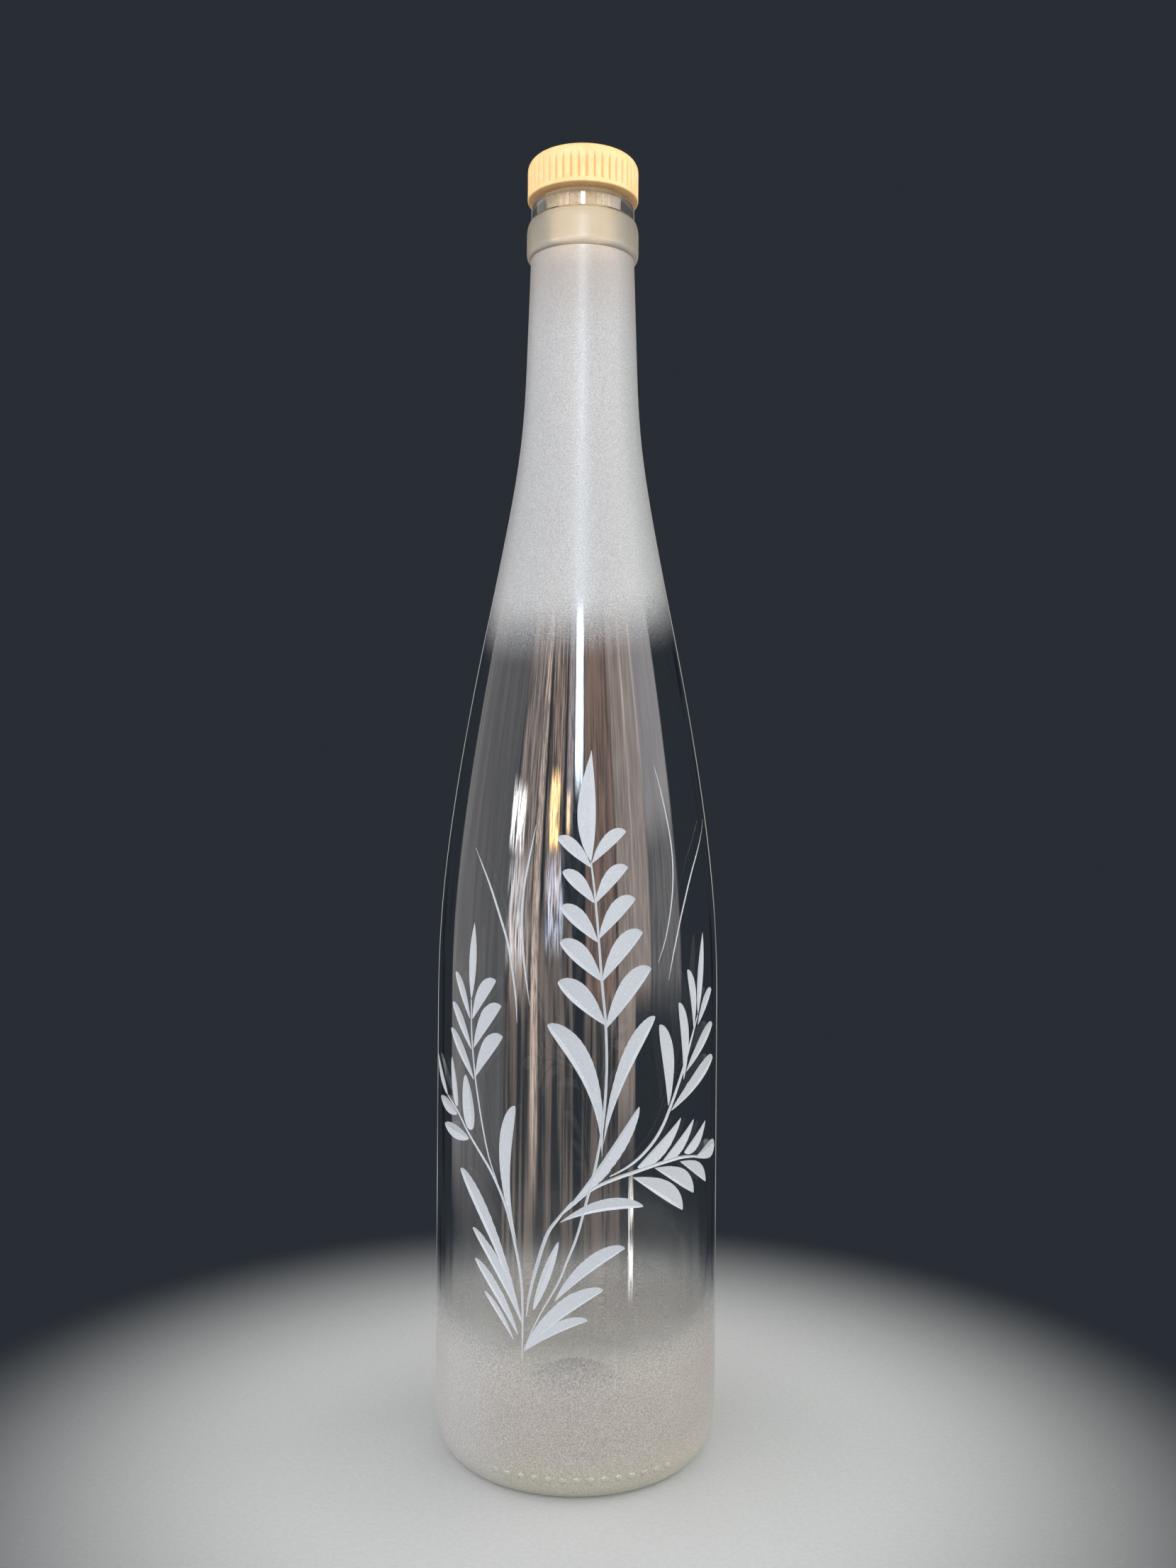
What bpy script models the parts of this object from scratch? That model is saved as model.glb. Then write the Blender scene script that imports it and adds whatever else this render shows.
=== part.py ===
"""Fruit brandy bottle: a tall glass flute bottle closed by a push-in stopper.

The object is three pieces. The bottle is one piece of glass with a deep push-up under its base,
long sloping shoulders, a collar below the lip and a straight bore. The stopper is a ribbed plastic
head with a plain round shank glued into its underside. Lengths are in metres, +Z is up, and the
origin is the centre of the base, on the surface that the bottle stands on.
"""
import math

import bmesh
import bpy

MM = 0.001

# Radii of the glass, outside
BODY_RADIUS = 36.7 * MM
SHOULDER_RADIUS = 24.62 * MM
NECK_FOOT_RADIUS = 14.53 * MM
NECK_TOP_RADIUS = 13.62 * MM
COLLAR_RADIUS = 14.72 * MM
LIP_RADIUS = 13.55 * MM

# Heights of the glass, stacked from the base to the lip
BODY_HEIGHT = 113.1 * MM
SHOULDER_HEIGHT = 101.0 * MM
SWEEP_HEIGHT = 70.0 * MM
NECK_HEIGHT = 27.2 * MM
COLLAR_HEIGHT = 9.9 * MM
LIP_HEIGHT = 5.45 * MM

# The shoulder loses this much radius for each unit of height where it turns from round to hollow
SHOULDER_TAPER_SHARE = 0.201

# Lengths of the shoulder curve's four handles, as shares of the heights that they lie in
BODY_HANDLE_SHARE = 0.221
SHOULDER_LOWER_HANDLE_SHARE = 0.571
SHOULDER_UPPER_HANDLE_SHARE = 0.552
NECK_HANDLE_SHARE = 0.329

# Base of the glass
HEEL_WIDTH = 7.3 * MM
HEEL_HEIGHT = 12.5 * MM
BEARING_WIDTH = 4.0 * MM
PUSH_UP_HEIGHT = 13.0 * MM

# Thickness of the glass
BODY_WALL = 2.8 * MM
SHOULDER_WALL = 3.2 * MM
NECK_WALL = 4.1 * MM
HEEL_THICKNESS = 8.0 * MM
PUSH_UP_THICKNESS = 7.5 * MM
INNER_CORNER_WIDTH = 9.5 * MM
INNER_CORNER_HEIGHT = 11.0 * MM

# Rounding of the collar and the lip
COLLAR_FOOT_ROUND = 1.9 * MM
COLLAR_TOP_ROUND = 3.5 * MM
LIP_OUTER_ROUND = 2.0 * MM
LIP_INNER_ROUND = 0.7 * MM

# Stopper
HEAD_RADIUS = 14.6 * MM
HEAD_HEIGHT = 10.7 * MM
HEAD_TOP_ROUND = 3.0 * MM
HEAD_FOOT_ROUND = 0.4 * MM
HEAD_BAND_HEIGHT = 1.3 * MM
SHANK_RADIUS = 9.45 * MM
SHANK_LENGTH = 19.0 * MM
SHANK_SEAT_DEPTH = 2.5 * MM
SHANK_CHAMFER = 1.0 * MM
RIB_COUNT = 44
GROOVE_WIDTH = 0.62 * MM
GROOVE_DEPTH = 0.42 * MM
GROOVE_HEIGHT = 6.0 * MM
GROOVE_RUN_OUT = 1.0 * MM

# Clearances: between the shank and the glass, under the head, and around the glued end
BORE_CLEARANCE = 0.3 * MM
SEAT_CLEARANCE = 0.3 * MM
GLUE_CLEARANCE = 0.3 * MM

# The straight bore runs on below the end of the shank
BORE_OVERRUN = 5.0 * MM
CUT_OVERRUN = 0.5 * MM

# Fineness of the meshes
TURN_STEPS = 48
CURVE_STEPS = 7
ARC_STEPS = 4
MERGE_DISTANCE = 0.001 * MM
SHARP_ANGLE = math.radians(38)

# Places that follow from the sizes above
SHOULDER_Z = BODY_HEIGHT + SHOULDER_HEIGHT
NECK_FOOT_Z = SHOULDER_Z + SWEEP_HEIGHT
COLLAR_FOOT_Z = NECK_FOOT_Z + NECK_HEIGHT
LIP_FOOT_Z = COLLAR_FOOT_Z + COLLAR_HEIGHT
LIP_TOP_Z = LIP_FOOT_Z + LIP_HEIGHT
BORE_RADIUS = SHANK_RADIUS + BORE_CLEARANCE
BORE_FOOT_Z = LIP_TOP_Z + SEAT_CLEARANCE - SHANK_LENGTH - BORE_OVERRUN
BEARING_OUTER_RADIUS = BODY_RADIUS - HEEL_WIDTH
BEARING_INNER_RADIUS = BEARING_OUTER_RADIUS - BEARING_WIDTH


def cubic(start, handle_a, handle_b, end, steps):
    """Points of a cubic curve, without its start point."""
    points = []
    for step in range(1, steps + 1):
        t = step / steps
        weights = ((1 - t) ** 3, 3 * t * (1 - t) ** 2, 3 * t * t * (1 - t), t ** 3)
        corners = (start, handle_a, handle_b, end)
        radius = sum(weight * corner[0] for weight, corner in zip(weights, corners))
        height = sum(weight * corner[1] for weight, corner in zip(weights, corners))
        points.append((radius, height))
    return points


def arc(centre, width, height, start_angle, end_angle, steps=ARC_STEPS):
    """Points of an elliptical arc, without its start point. Angle 0 points away from the axis."""
    points = []
    for step in range(1, steps + 1):
        angle = math.radians(start_angle + (end_angle - start_angle) * step / steps)
        points.append((centre[0] + width * math.cos(angle), centre[1] + height * math.sin(angle)))
    return points


def shoulder_curve(body_radius, shoulder_radius, neck_radius):
    """Points from the foot of the neck down to the top of the straight body, without the first."""
    neck_slope = (NECK_FOOT_RADIUS - NECK_TOP_RADIUS) / NECK_HEIGHT
    neck_handle = SWEEP_HEIGHT * NECK_HANDLE_SHARE
    upper_handle = SWEEP_HEIGHT * SHOULDER_UPPER_HANDLE_SHARE
    lower_handle = SHOULDER_HEIGHT * SHOULDER_LOWER_HANDLE_SHARE
    body_handle = SHOULDER_HEIGHT * BODY_HANDLE_SHARE
    neck = (neck_radius, NECK_FOOT_Z)
    shoulder = (shoulder_radius, SHOULDER_Z)
    body = (body_radius, BODY_HEIGHT)
    sweep = cubic(
        neck,
        (neck_radius + neck_handle * neck_slope, NECK_FOOT_Z - neck_handle),
        (shoulder_radius - upper_handle * SHOULDER_TAPER_SHARE, SHOULDER_Z + upper_handle),
        shoulder,
        CURVE_STEPS,
    )
    slope = cubic(
        shoulder,
        (shoulder_radius + lower_handle * SHOULDER_TAPER_SHARE, SHOULDER_Z - lower_handle),
        (body_radius, BODY_HEIGHT + body_handle),
        body,
        CURVE_STEPS,
    )
    return sweep + slope


def inner_outline():
    """The inside of the glass, from the middle of its floor up to the lip."""
    inner_radius = BODY_RADIUS - BODY_WALL
    floor_radius = inner_radius - INNER_CORNER_WIDTH
    floor_top = PUSH_UP_HEIGHT + PUSH_UP_THICKNESS
    neck_radius = NECK_FOOT_RADIUS - NECK_WALL
    dome_handle_shares = (0.57, 0.84)
    points = [(0, floor_top)]
    points += cubic(
        (0, floor_top),
        (floor_radius * dome_handle_shares[0], floor_top),
        (floor_radius * dome_handle_shares[1], HEEL_THICKNESS),
        (floor_radius, HEEL_THICKNESS),
        CURVE_STEPS,
    )
    corner = (floor_radius, HEEL_THICKNESS + INNER_CORNER_HEIGHT)
    points += arc(corner, INNER_CORNER_WIDTH, INNER_CORNER_HEIGHT, -90, 0)
    down = shoulder_curve(inner_radius, SHOULDER_RADIUS - SHOULDER_WALL, neck_radius)
    points += reversed(down)
    points.append((neck_radius, NECK_FOOT_Z))
    points.append((BORE_RADIUS, BORE_FOOT_Z))
    lip = (BORE_RADIUS + LIP_INNER_ROUND, LIP_TOP_Z - LIP_INNER_ROUND)
    points.append((BORE_RADIUS, lip[1]))
    points += arc(lip, LIP_INNER_ROUND, LIP_INNER_ROUND, 180, 90)
    return points


def outer_outline():
    """The outside of the glass, from the lip down to the middle of the push-up."""
    edge = (LIP_RADIUS - LIP_OUTER_ROUND, LIP_TOP_Z - LIP_OUTER_ROUND)
    points = [(edge[0], LIP_TOP_Z)]
    points += arc(edge, LIP_OUTER_ROUND, LIP_OUTER_ROUND, 90, 0)
    points.append((LIP_RADIUS, LIP_FOOT_Z))
    collar_top = (LIP_RADIUS, LIP_FOOT_Z - COLLAR_TOP_ROUND)
    points += arc(collar_top, COLLAR_RADIUS - LIP_RADIUS, COLLAR_TOP_ROUND, 90, 0)
    collar_foot = (NECK_TOP_RADIUS, COLLAR_FOOT_Z + COLLAR_FOOT_ROUND)
    points.append((COLLAR_RADIUS, collar_foot[1]))
    points += arc(collar_foot, COLLAR_RADIUS - NECK_TOP_RADIUS, COLLAR_FOOT_ROUND, 0, -90)
    points.append((NECK_FOOT_RADIUS, NECK_FOOT_Z))
    points += shoulder_curve(BODY_RADIUS, SHOULDER_RADIUS, NECK_FOOT_RADIUS)
    points.append((BODY_RADIUS, HEEL_HEIGHT))
    points += arc((BEARING_OUTER_RADIUS, HEEL_HEIGHT), HEEL_WIDTH, HEEL_HEIGHT, 0, -90)
    points.append((BEARING_INNER_RADIUS, 0))
    foot_handle_share = 0.93
    foot_rise_share = 0.19
    dome_handle_share = 0.55
    points += cubic(
        (BEARING_INNER_RADIUS, 0),
        (BEARING_INNER_RADIUS * foot_handle_share, PUSH_UP_HEIGHT * foot_rise_share),
        (BEARING_INNER_RADIUS * dome_handle_share, PUSH_UP_HEIGHT),
        (0, PUSH_UP_HEIGHT),
        CURVE_STEPS,
    )
    return points


def head_outline():
    """The stopper's head, from the middle of its top round to the middle of its glue recess.

    Height 0 is the head's underside.
    """
    edge = (HEAD_RADIUS - HEAD_TOP_ROUND, HEAD_HEIGHT - HEAD_TOP_ROUND)
    foot = (HEAD_RADIUS - HEAD_FOOT_ROUND, HEAD_FOOT_ROUND)
    recess_radius = SHANK_RADIUS + GLUE_CLEARANCE
    recess_depth = SHANK_SEAT_DEPTH + GLUE_CLEARANCE
    points = [(0, HEAD_HEIGHT), (edge[0], HEAD_HEIGHT)]
    points += arc(edge, HEAD_TOP_ROUND, HEAD_TOP_ROUND, 90, 0)
    points.append((HEAD_RADIUS, HEAD_BAND_HEIGHT))
    points.append((HEAD_RADIUS, foot[1]))
    points += arc(foot, HEAD_FOOT_ROUND, HEAD_FOOT_ROUND, 0, -90, 2)
    points.append((recess_radius, 0))
    points.append((recess_radius, recess_depth))
    points.append((0, recess_depth))
    return points


def shank_outline():
    """The stopper's shank, from the middle of its glued end to the middle of its free end."""
    return [
        (0, SHANK_SEAT_DEPTH),
        (SHANK_RADIUS, SHANK_SEAT_DEPTH),
        (SHANK_RADIUS, SHANK_CHAMFER - SHANK_LENGTH),
        (SHANK_RADIUS - SHANK_CHAMFER, -SHANK_LENGTH),
        (0, -SHANK_LENGTH),
    ]


def new_object(name, bm, material):
    """Object that holds a finished bmesh, shaded smooth up to the sharp angle."""
    mesh = bpy.data.meshes.new(name)
    bm.to_mesh(mesh)
    bm.free()
    mesh.shade_smooth()
    mesh.set_sharp_from_angle(angle=SHARP_ANGLE)
    piece = bpy.data.objects.new(name, mesh)
    bpy.context.scene.collection.objects.link(piece)
    if material:
        mesh.materials.append(material)
    return piece


def turned(name, outline, steps, material):
    """An outline turned about Z into a closed piece."""
    bm = bmesh.new()
    verts = [bm.verts.new((radius, 0, height)) for radius, height in outline]
    edges = [bm.edges.new(pair) for pair in zip(verts, verts[1:])]
    bmesh.ops.spin(
        bm, geom=verts + edges, cent=(0, 0, 0), axis=(0, 0, 1), angle=2 * math.pi, steps=steps
    )
    bmesh.ops.remove_doubles(bm, verts=bm.verts, dist=MERGE_DISTANCE)
    bmesh.ops.dissolve_degenerate(bm, edges=bm.edges, dist=MERGE_DISTANCE)
    bmesh.ops.recalc_face_normals(bm, faces=bm.faces)
    return new_object(name, bm, material)


def groove_cutters():
    """One wedge for each groove between the head's ribs, run out to nothing at its upper end."""
    spread = GROOVE_WIDTH / 2 * (GROOVE_DEPTH + CUT_OVERRUN) / GROOVE_DEPTH
    low = HEAD_BAND_HEIGHT
    high = HEAD_BAND_HEIGHT + GROOVE_HEIGHT
    inner = HEAD_RADIUS - GROOVE_DEPTH
    outer = HEAD_RADIUS + CUT_OVERRUN
    run_out = GROOVE_RUN_OUT * (GROOVE_DEPTH + CUT_OVERRUN) / GROOVE_DEPTH
    sections = (
        ((inner, 0, low), (outer, -spread, low), (outer, spread, low)),
        (
            (inner, 0, high - GROOVE_RUN_OUT),
            (outer, -spread, high - GROOVE_RUN_OUT + run_out),
            (outer, spread, high - GROOVE_RUN_OUT + run_out),
        ),
    )
    bm = bmesh.new()
    for rib in range(RIB_COUNT):
        # Each wedge is centred on one facet of the head, which has two facets to a rib
        angle = (2 * rib + 0.5) * math.pi / RIB_COUNT
        rings = []
        for section in sections:
            ring = []
            for x, y, z in section:
                turned_x = x * math.cos(angle) - y * math.sin(angle)
                turned_y = x * math.sin(angle) + y * math.cos(angle)
                ring.append(bm.verts.new((turned_x, turned_y, z)))
            rings.append(ring)
        bm.faces.new(rings[0])
        bm.faces.new(reversed(rings[1]))
        for side in range(3):
            after = (side + 1) % 3
            bm.faces.new((rings[0][side], rings[1][side], rings[1][after], rings[0][after]))
    bmesh.ops.recalc_face_normals(bm, faces=bm.faces)
    cutters = new_object("groove_cutters", bm, None)
    cutters.hide_render = True
    cutters.display_type = "WIRE"
    return cutters


def finish(name, colour, roughness, transmission=0.0):
    """A Principled material."""
    material = bpy.data.materials.new(name)
    material.use_nodes = True
    shader = material.node_tree.nodes["Principled BSDF"]
    shader.inputs["Base Color"].default_value = (*colour, 1)
    shader.inputs["Roughness"].default_value = roughness
    shader.inputs["Metallic"].default_value = 0.0
    shader.inputs["Transmission Weight"].default_value = transmission
    material.diffuse_color = (*colour, 1)
    return material


def make_bottle():
    """The glass: one wall that runs up the inside, over the lip and down the outside."""
    glass = finish("clear_and_frosted_glass", (0.80, 0.83, 0.84), 0.12, transmission=0.9)
    turned("glass_bottle", inner_outline() + outer_outline(), TURN_STEPS, glass)


def make_stopper():
    """The ribbed head and its shank, carried by an empty on the axis that the stopper slides on."""
    slide = bpy.data.objects.new("stopper_slide", None)
    slide.empty_display_size = HEAD_RADIUS
    slide.location = (0, 0, LIP_TOP_Z + SEAT_CLEARANCE)
    bpy.context.scene.collection.objects.link(slide)

    cream_plastic = finish("cream_plastic", (0.83, 0.62, 0.36), 0.45)
    head = turned("stopper_head", head_outline(), 2 * RIB_COUNT, cream_plastic)
    cutters = groove_cutters()
    grooves = head.modifiers.new("Grooves", "BOOLEAN")
    grooves.operation = "DIFFERENCE"
    grooves.solver = "EXACT"
    grooves.object = cutters

    shank_plastic = finish("shank_plastic", (0.72, 0.55, 0.36), 0.6)
    shank = turned("stopper_shank", shank_outline(), TURN_STEPS, shank_plastic)
    for piece in (head, cutters, shank):
        piece.parent = slide


for old in list(bpy.data.objects):
    bpy.data.objects.remove(old, do_unlink=True)

make_bottle()
make_stopper()
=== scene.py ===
"""A tall glass fruit brandy bottle, frosted at its neck and foot and engraved with leaf sprays, closed by
a push-in stopper. Lengths are in metres and +Z is up. The engraved side faces -Y, where the camera is."""
import math

import bmesh
import bpy
import numpy as np
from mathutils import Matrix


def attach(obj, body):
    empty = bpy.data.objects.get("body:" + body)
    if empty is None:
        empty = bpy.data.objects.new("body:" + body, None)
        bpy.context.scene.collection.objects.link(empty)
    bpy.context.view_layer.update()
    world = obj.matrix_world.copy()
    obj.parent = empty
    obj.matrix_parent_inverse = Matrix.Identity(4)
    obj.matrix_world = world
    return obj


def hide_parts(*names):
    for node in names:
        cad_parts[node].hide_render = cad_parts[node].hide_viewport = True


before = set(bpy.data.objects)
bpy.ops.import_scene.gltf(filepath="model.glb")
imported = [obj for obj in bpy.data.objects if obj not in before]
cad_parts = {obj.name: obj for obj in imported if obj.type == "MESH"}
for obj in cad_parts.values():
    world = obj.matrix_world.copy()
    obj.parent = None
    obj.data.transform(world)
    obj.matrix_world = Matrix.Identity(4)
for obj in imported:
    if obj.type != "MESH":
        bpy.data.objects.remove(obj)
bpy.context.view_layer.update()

MM = 0.001
scene = bpy.context.scene


# Glass bottle
# One piece of blown clear glass: a straight body, long sloping shoulders, a neck with a collar, a plain
# lip, and a push-up under the base. Its neck and its foot were sprayed to a frost that fades towards the
# clear middle.
BODY_RADIUS = 36.7 * MM
SHOULDER_RADIUS = 24.62 * MM
NECK_FOOT_RADIUS = 14.53 * MM
NECK_TOP_RADIUS = 13.62 * MM
COLLAR_RADIUS = 14.72 * MM
LIP_RADIUS = 13.55 * MM
BORE_RADIUS = 9.75 * MM
BODY_TOP = 113.1 * MM
SHOULDER_TOP = 214.1 * MM
NECK_FOOT = 284.1 * MM
COLLAR_FOOT = 311.3 * MM
LIP_FOOT = 321.2 * MM
LIP_TOP = 326.65 * MM
BORE_FOOT = 302.95 * MM
SHOULDER_TAPER = 0.201
HEEL_WIDTH = 7.3 * MM
HEEL_HEIGHT = 12.5 * MM
BEARING_WIDTH = 4.0 * MM
PUSH_UP_HEIGHT = 13.0 * MM
BODY_WALL = 2.8 * MM
SHOULDER_WALL = 3.2 * MM
NECK_WALL = 4.1 * MM
FLOOR_RADIUS = 24.4 * MM
FLOOR_HEIGHT = 8.0 * MM
FLOOR_TOP = 20.5 * MM
INNER_CORNER_WIDTH = 9.5 * MM
INNER_CORNER_HEIGHT = 11.0 * MM
COLLAR_FOOT_ROUND = 1.9 * MM
COLLAR_TOP_ROUND = 3.5 * MM
LIP_ROUND = 2.0 * MM
LIP_INNER_ROUND = 0.7 * MM
SEAM_GROOVE = 0.18 * MM
GLASS_STEPS = 192
SHARP_ANGLE = math.radians(38)
WELD_GAP = 0.001 * MM

# How far the handles of the curves reach, as shares of the height of the shoulders' upper and lower part
# and of the radius of the floor and of the push-up
NECK_HANDLE = 0.329
UPPER_HANDLE = 0.552
LOWER_HANDLE = 0.571
BODY_HANDLE = 0.221
FLOOR_HANDLES = (0.57, 0.84)
PUSH_UP_HANDLES = (0.93, 0.55)
PUSH_UP_FOOT_RISE = 0.19


def run(start, end, steps):
    """Points of a straight run, without its start point."""
    shares = [step / steps for step in range(1, steps + 1)]
    return [tuple(a + (b - a) * share for a, b in zip(start, end)) for share in shares]


def cubic(start, handle_a, handle_b, end, steps):
    """Points of a cubic curve, without its start point."""
    points = []
    for step in range(1, steps + 1):
        t = step / steps
        weights = ((1 - t) ** 3, 3 * t * (1 - t) ** 2, 3 * t * t * (1 - t), t**3)
        corners = (start, handle_a, handle_b, end)
        points.append(tuple(sum(w * c[axis] for w, c in zip(weights, corners)) for axis in (0, 1)))
    return points


def arc(centre, width, height, start_angle, end_angle, steps):
    """Points of an elliptical arc, without its start point. Angle 0 points away from the axis."""
    points = []
    for step in range(1, steps + 1):
        angle = math.radians(start_angle + (end_angle - start_angle) * step / steps)
        points.append((centre[0] + width * math.cos(angle), centre[1] + height * math.sin(angle)))
    return points


def shoulders(body_radius, shoulder_radius, neck_radius):
    """Points from the foot of the neck down to the top of the straight body, without the first."""
    sweep_height = NECK_FOOT - SHOULDER_TOP
    slope_height = SHOULDER_TOP - BODY_TOP
    neck_slope = (NECK_FOOT_RADIUS - NECK_TOP_RADIUS) / (COLLAR_FOOT - NECK_FOOT)
    neck_handle, upper_handle = NECK_HANDLE * sweep_height, UPPER_HANDLE * sweep_height
    lower_handle, body_handle = LOWER_HANDLE * slope_height, BODY_HANDLE * slope_height
    sweep = cubic(
        (neck_radius, NECK_FOOT),
        (neck_radius + neck_handle * neck_slope, NECK_FOOT - neck_handle),
        (shoulder_radius - upper_handle * SHOULDER_TAPER, SHOULDER_TOP + upper_handle),
        (shoulder_radius, SHOULDER_TOP),
        22,
    )
    slope = cubic(
        (shoulder_radius, SHOULDER_TOP),
        (shoulder_radius + lower_handle * SHOULDER_TAPER, SHOULDER_TOP - lower_handle),
        (body_radius, BODY_TOP + body_handle),
        (body_radius, BODY_TOP),
        30,
    )
    return sweep + slope


def inside_outline():
    """The inside of the glass, from the middle of its floor up to the lip."""
    inner_radius = BODY_RADIUS - BODY_WALL
    neck_radius = NECK_FOOT_RADIUS - NECK_WALL
    corner = (FLOOR_RADIUS, FLOOR_HEIGHT + INNER_CORNER_HEIGHT)
    points = [(0, FLOOR_TOP)]
    middle_handle, edge_handle = (share * FLOOR_RADIUS for share in FLOOR_HANDLES)
    points += cubic(
        points[0], (middle_handle, FLOOR_TOP), (edge_handle, FLOOR_HEIGHT),
        (FLOOR_RADIUS, FLOOR_HEIGHT), 14
    )
    points += arc(corner, INNER_CORNER_WIDTH, INNER_CORNER_HEIGHT, -90, 0, 12)
    points += run(points[-1], (inner_radius, BODY_TOP), 20)
    down = shoulders(inner_radius, SHOULDER_RADIUS - SHOULDER_WALL, neck_radius)
    points += list(reversed(down[:-1])) + [(neck_radius, NECK_FOOT)]
    points += run(points[-1], (BORE_RADIUS, BORE_FOOT), 5)
    points += run(points[-1], (BORE_RADIUS, LIP_TOP - LIP_INNER_ROUND), 8)
    lip_centre = (BORE_RADIUS + LIP_INNER_ROUND, points[-1][1])
    points += arc(lip_centre, LIP_INNER_ROUND, LIP_INNER_ROUND, 180, 90, 6)
    return points


def outside_outline():
    """The outside of the glass, from the lip down to the middle of the push-up."""
    points = run((BORE_RADIUS + LIP_INNER_ROUND, LIP_TOP), (LIP_RADIUS - LIP_ROUND, LIP_TOP), 2)
    points += arc((LIP_RADIUS - LIP_ROUND, LIP_TOP - LIP_ROUND), LIP_ROUND, LIP_ROUND, 90, 0, 8)
    points += run(points[-1], (LIP_RADIUS, LIP_FOOT + 2 * SEAM_GROOVE), 3)
    points.append((LIP_RADIUS - SEAM_GROOVE, LIP_FOOT + SEAM_GROOVE))
    points.append((LIP_RADIUS, LIP_FOOT))
    collar_top = (LIP_RADIUS, LIP_FOOT - COLLAR_TOP_ROUND)
    points += arc(collar_top, COLLAR_RADIUS - LIP_RADIUS, COLLAR_TOP_ROUND, 90, 0, 12)
    points += run(points[-1], (COLLAR_RADIUS, COLLAR_FOOT + COLLAR_FOOT_ROUND), 4)
    collar_foot = (NECK_TOP_RADIUS, COLLAR_FOOT + COLLAR_FOOT_ROUND)
    points += arc(collar_foot, COLLAR_RADIUS - NECK_TOP_RADIUS, COLLAR_FOOT_ROUND, 0, -90, 10)
    points += run(points[-1], (NECK_FOOT_RADIUS, NECK_FOOT), 8)
    points += shoulders(BODY_RADIUS, SHOULDER_RADIUS, NECK_FOOT_RADIUS)
    points += run(points[-1], (BODY_RADIUS, HEEL_HEIGHT), 26)
    points += arc((BODY_RADIUS - HEEL_WIDTH, HEEL_HEIGHT), HEEL_WIDTH, HEEL_HEIGHT, 0, -90, 18)
    bearing_radius = BODY_RADIUS - HEEL_WIDTH - BEARING_WIDTH
    points += run(points[-1], (bearing_radius, 0), 2)
    edge_handle, middle_handle = (share * bearing_radius for share in PUSH_UP_HANDLES)
    points += cubic(
        points[-1], (edge_handle, PUSH_UP_FOOT_RISE * PUSH_UP_HEIGHT), (middle_handle, PUSH_UP_HEIGHT),
        (0, PUSH_UP_HEIGHT), 14
    )
    return points


class Wire:
    """An output socket of a node tree. Python's operators on it add Math nodes."""

    def __init__(self, socket):
        self.socket = socket

    @classmethod
    def node(cls, tree, kind, settings=(), inputs=(), output=0):
        """Adds a node, sets it, fills its sockets with values or wires, and gives one of its outputs."""
        made = tree.nodes.new(kind)
        for name, value in dict(settings).items():
            setattr(made, name, value)
        for name, value in dict(inputs).items():
            if isinstance(value, Wire):
                tree.links.new(value.socket, made.inputs[name])
            else:
                made.inputs[name].default_value = value
        return cls(made.outputs[output])

    def output(self, name):
        """Another output of the same node."""
        return Wire(self.socket.node.outputs[name])

    def math(self, operation, *others):
        """A Math node on this value and others."""
        values = dict(enumerate((self, *others)))
        return Wire.node(self.socket.id_data, "ShaderNodeMath", {"operation": operation}, values)

    def __add__(self, other):
        return self.math("ADD", other)

    def __radd__(self, other):
        return self.math("ADD", other)

    def __mul__(self, other):
        return self.math("MULTIPLY", other)

    def __sub__(self, other):
        return self.math("SUBTRACT", other)

    def __rsub__(self, other):
        return (self * -1) + other

    def __truediv__(self, other):
        return self.math("DIVIDE", other)

    def __pow__(self, other):
        return self.math("POWER", other)


def split(vector):
    """The three parts of a vector."""
    x = Wire.node(vector.socket.id_data, "ShaderNodeSeparateXYZ", inputs={0: vector})
    return x, x.output("Y"), x.output("Z")


def joined(tree, x, y, z):
    """A vector of three parts."""
    return Wire.node(tree, "ShaderNodeCombineXYZ", inputs={0: x, 1: y, 2: z})


def geometry_tree(name, sizes):
    """A Geometry Nodes tree with a geometry and named sizes coming in, and the wires of those inputs."""
    tree = bpy.data.node_groups.new(name, "GeometryNodeTree")
    tree.interface.new_socket("Geometry", in_out="OUTPUT", socket_type="NodeSocketGeometry")
    for size, kind in {"Geometry": "Geometry", **sizes, "Material": "Material"}.items():
        tree.interface.new_socket(size, in_out="INPUT", socket_type="NodeSocket" + kind)
    entry = tree.nodes.new("NodeGroupInput")
    return tree, {socket.name: Wire(socket) for socket in entry.outputs if socket.name}


def realized(tree, geometry):
    return Wire.node(tree, "GeometryNodeRealizeInstances", inputs={"Geometry": geometry})


def own_position(tree):
    return Wire.node(tree, "GeometryNodeInputPosition")


def moved(tree, geometry, position):
    return Wire.node(tree, "GeometryNodeSetPosition", inputs={"Geometry": geometry, "Position": position})


def close_tree(tree, geometry, *materials):
    """Ends a tree in Realize Instances and a Set Material for each (material, selection) given."""
    last = realized(tree, geometry)
    for material, selection in materials:
        inputs = {"Geometry": last, "Material": material, "Selection": selection}
        last = Wire.node(tree, "GeometryNodeSetMaterial", inputs=inputs)
    tree.links.new(last.socket, tree.nodes.new("NodeGroupOutput").inputs[0])


def linked(name, data):
    """A new object in the scene."""
    thing = bpy.data.objects.new(name, data)
    scene.collection.objects.link(thing)
    return thing


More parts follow.
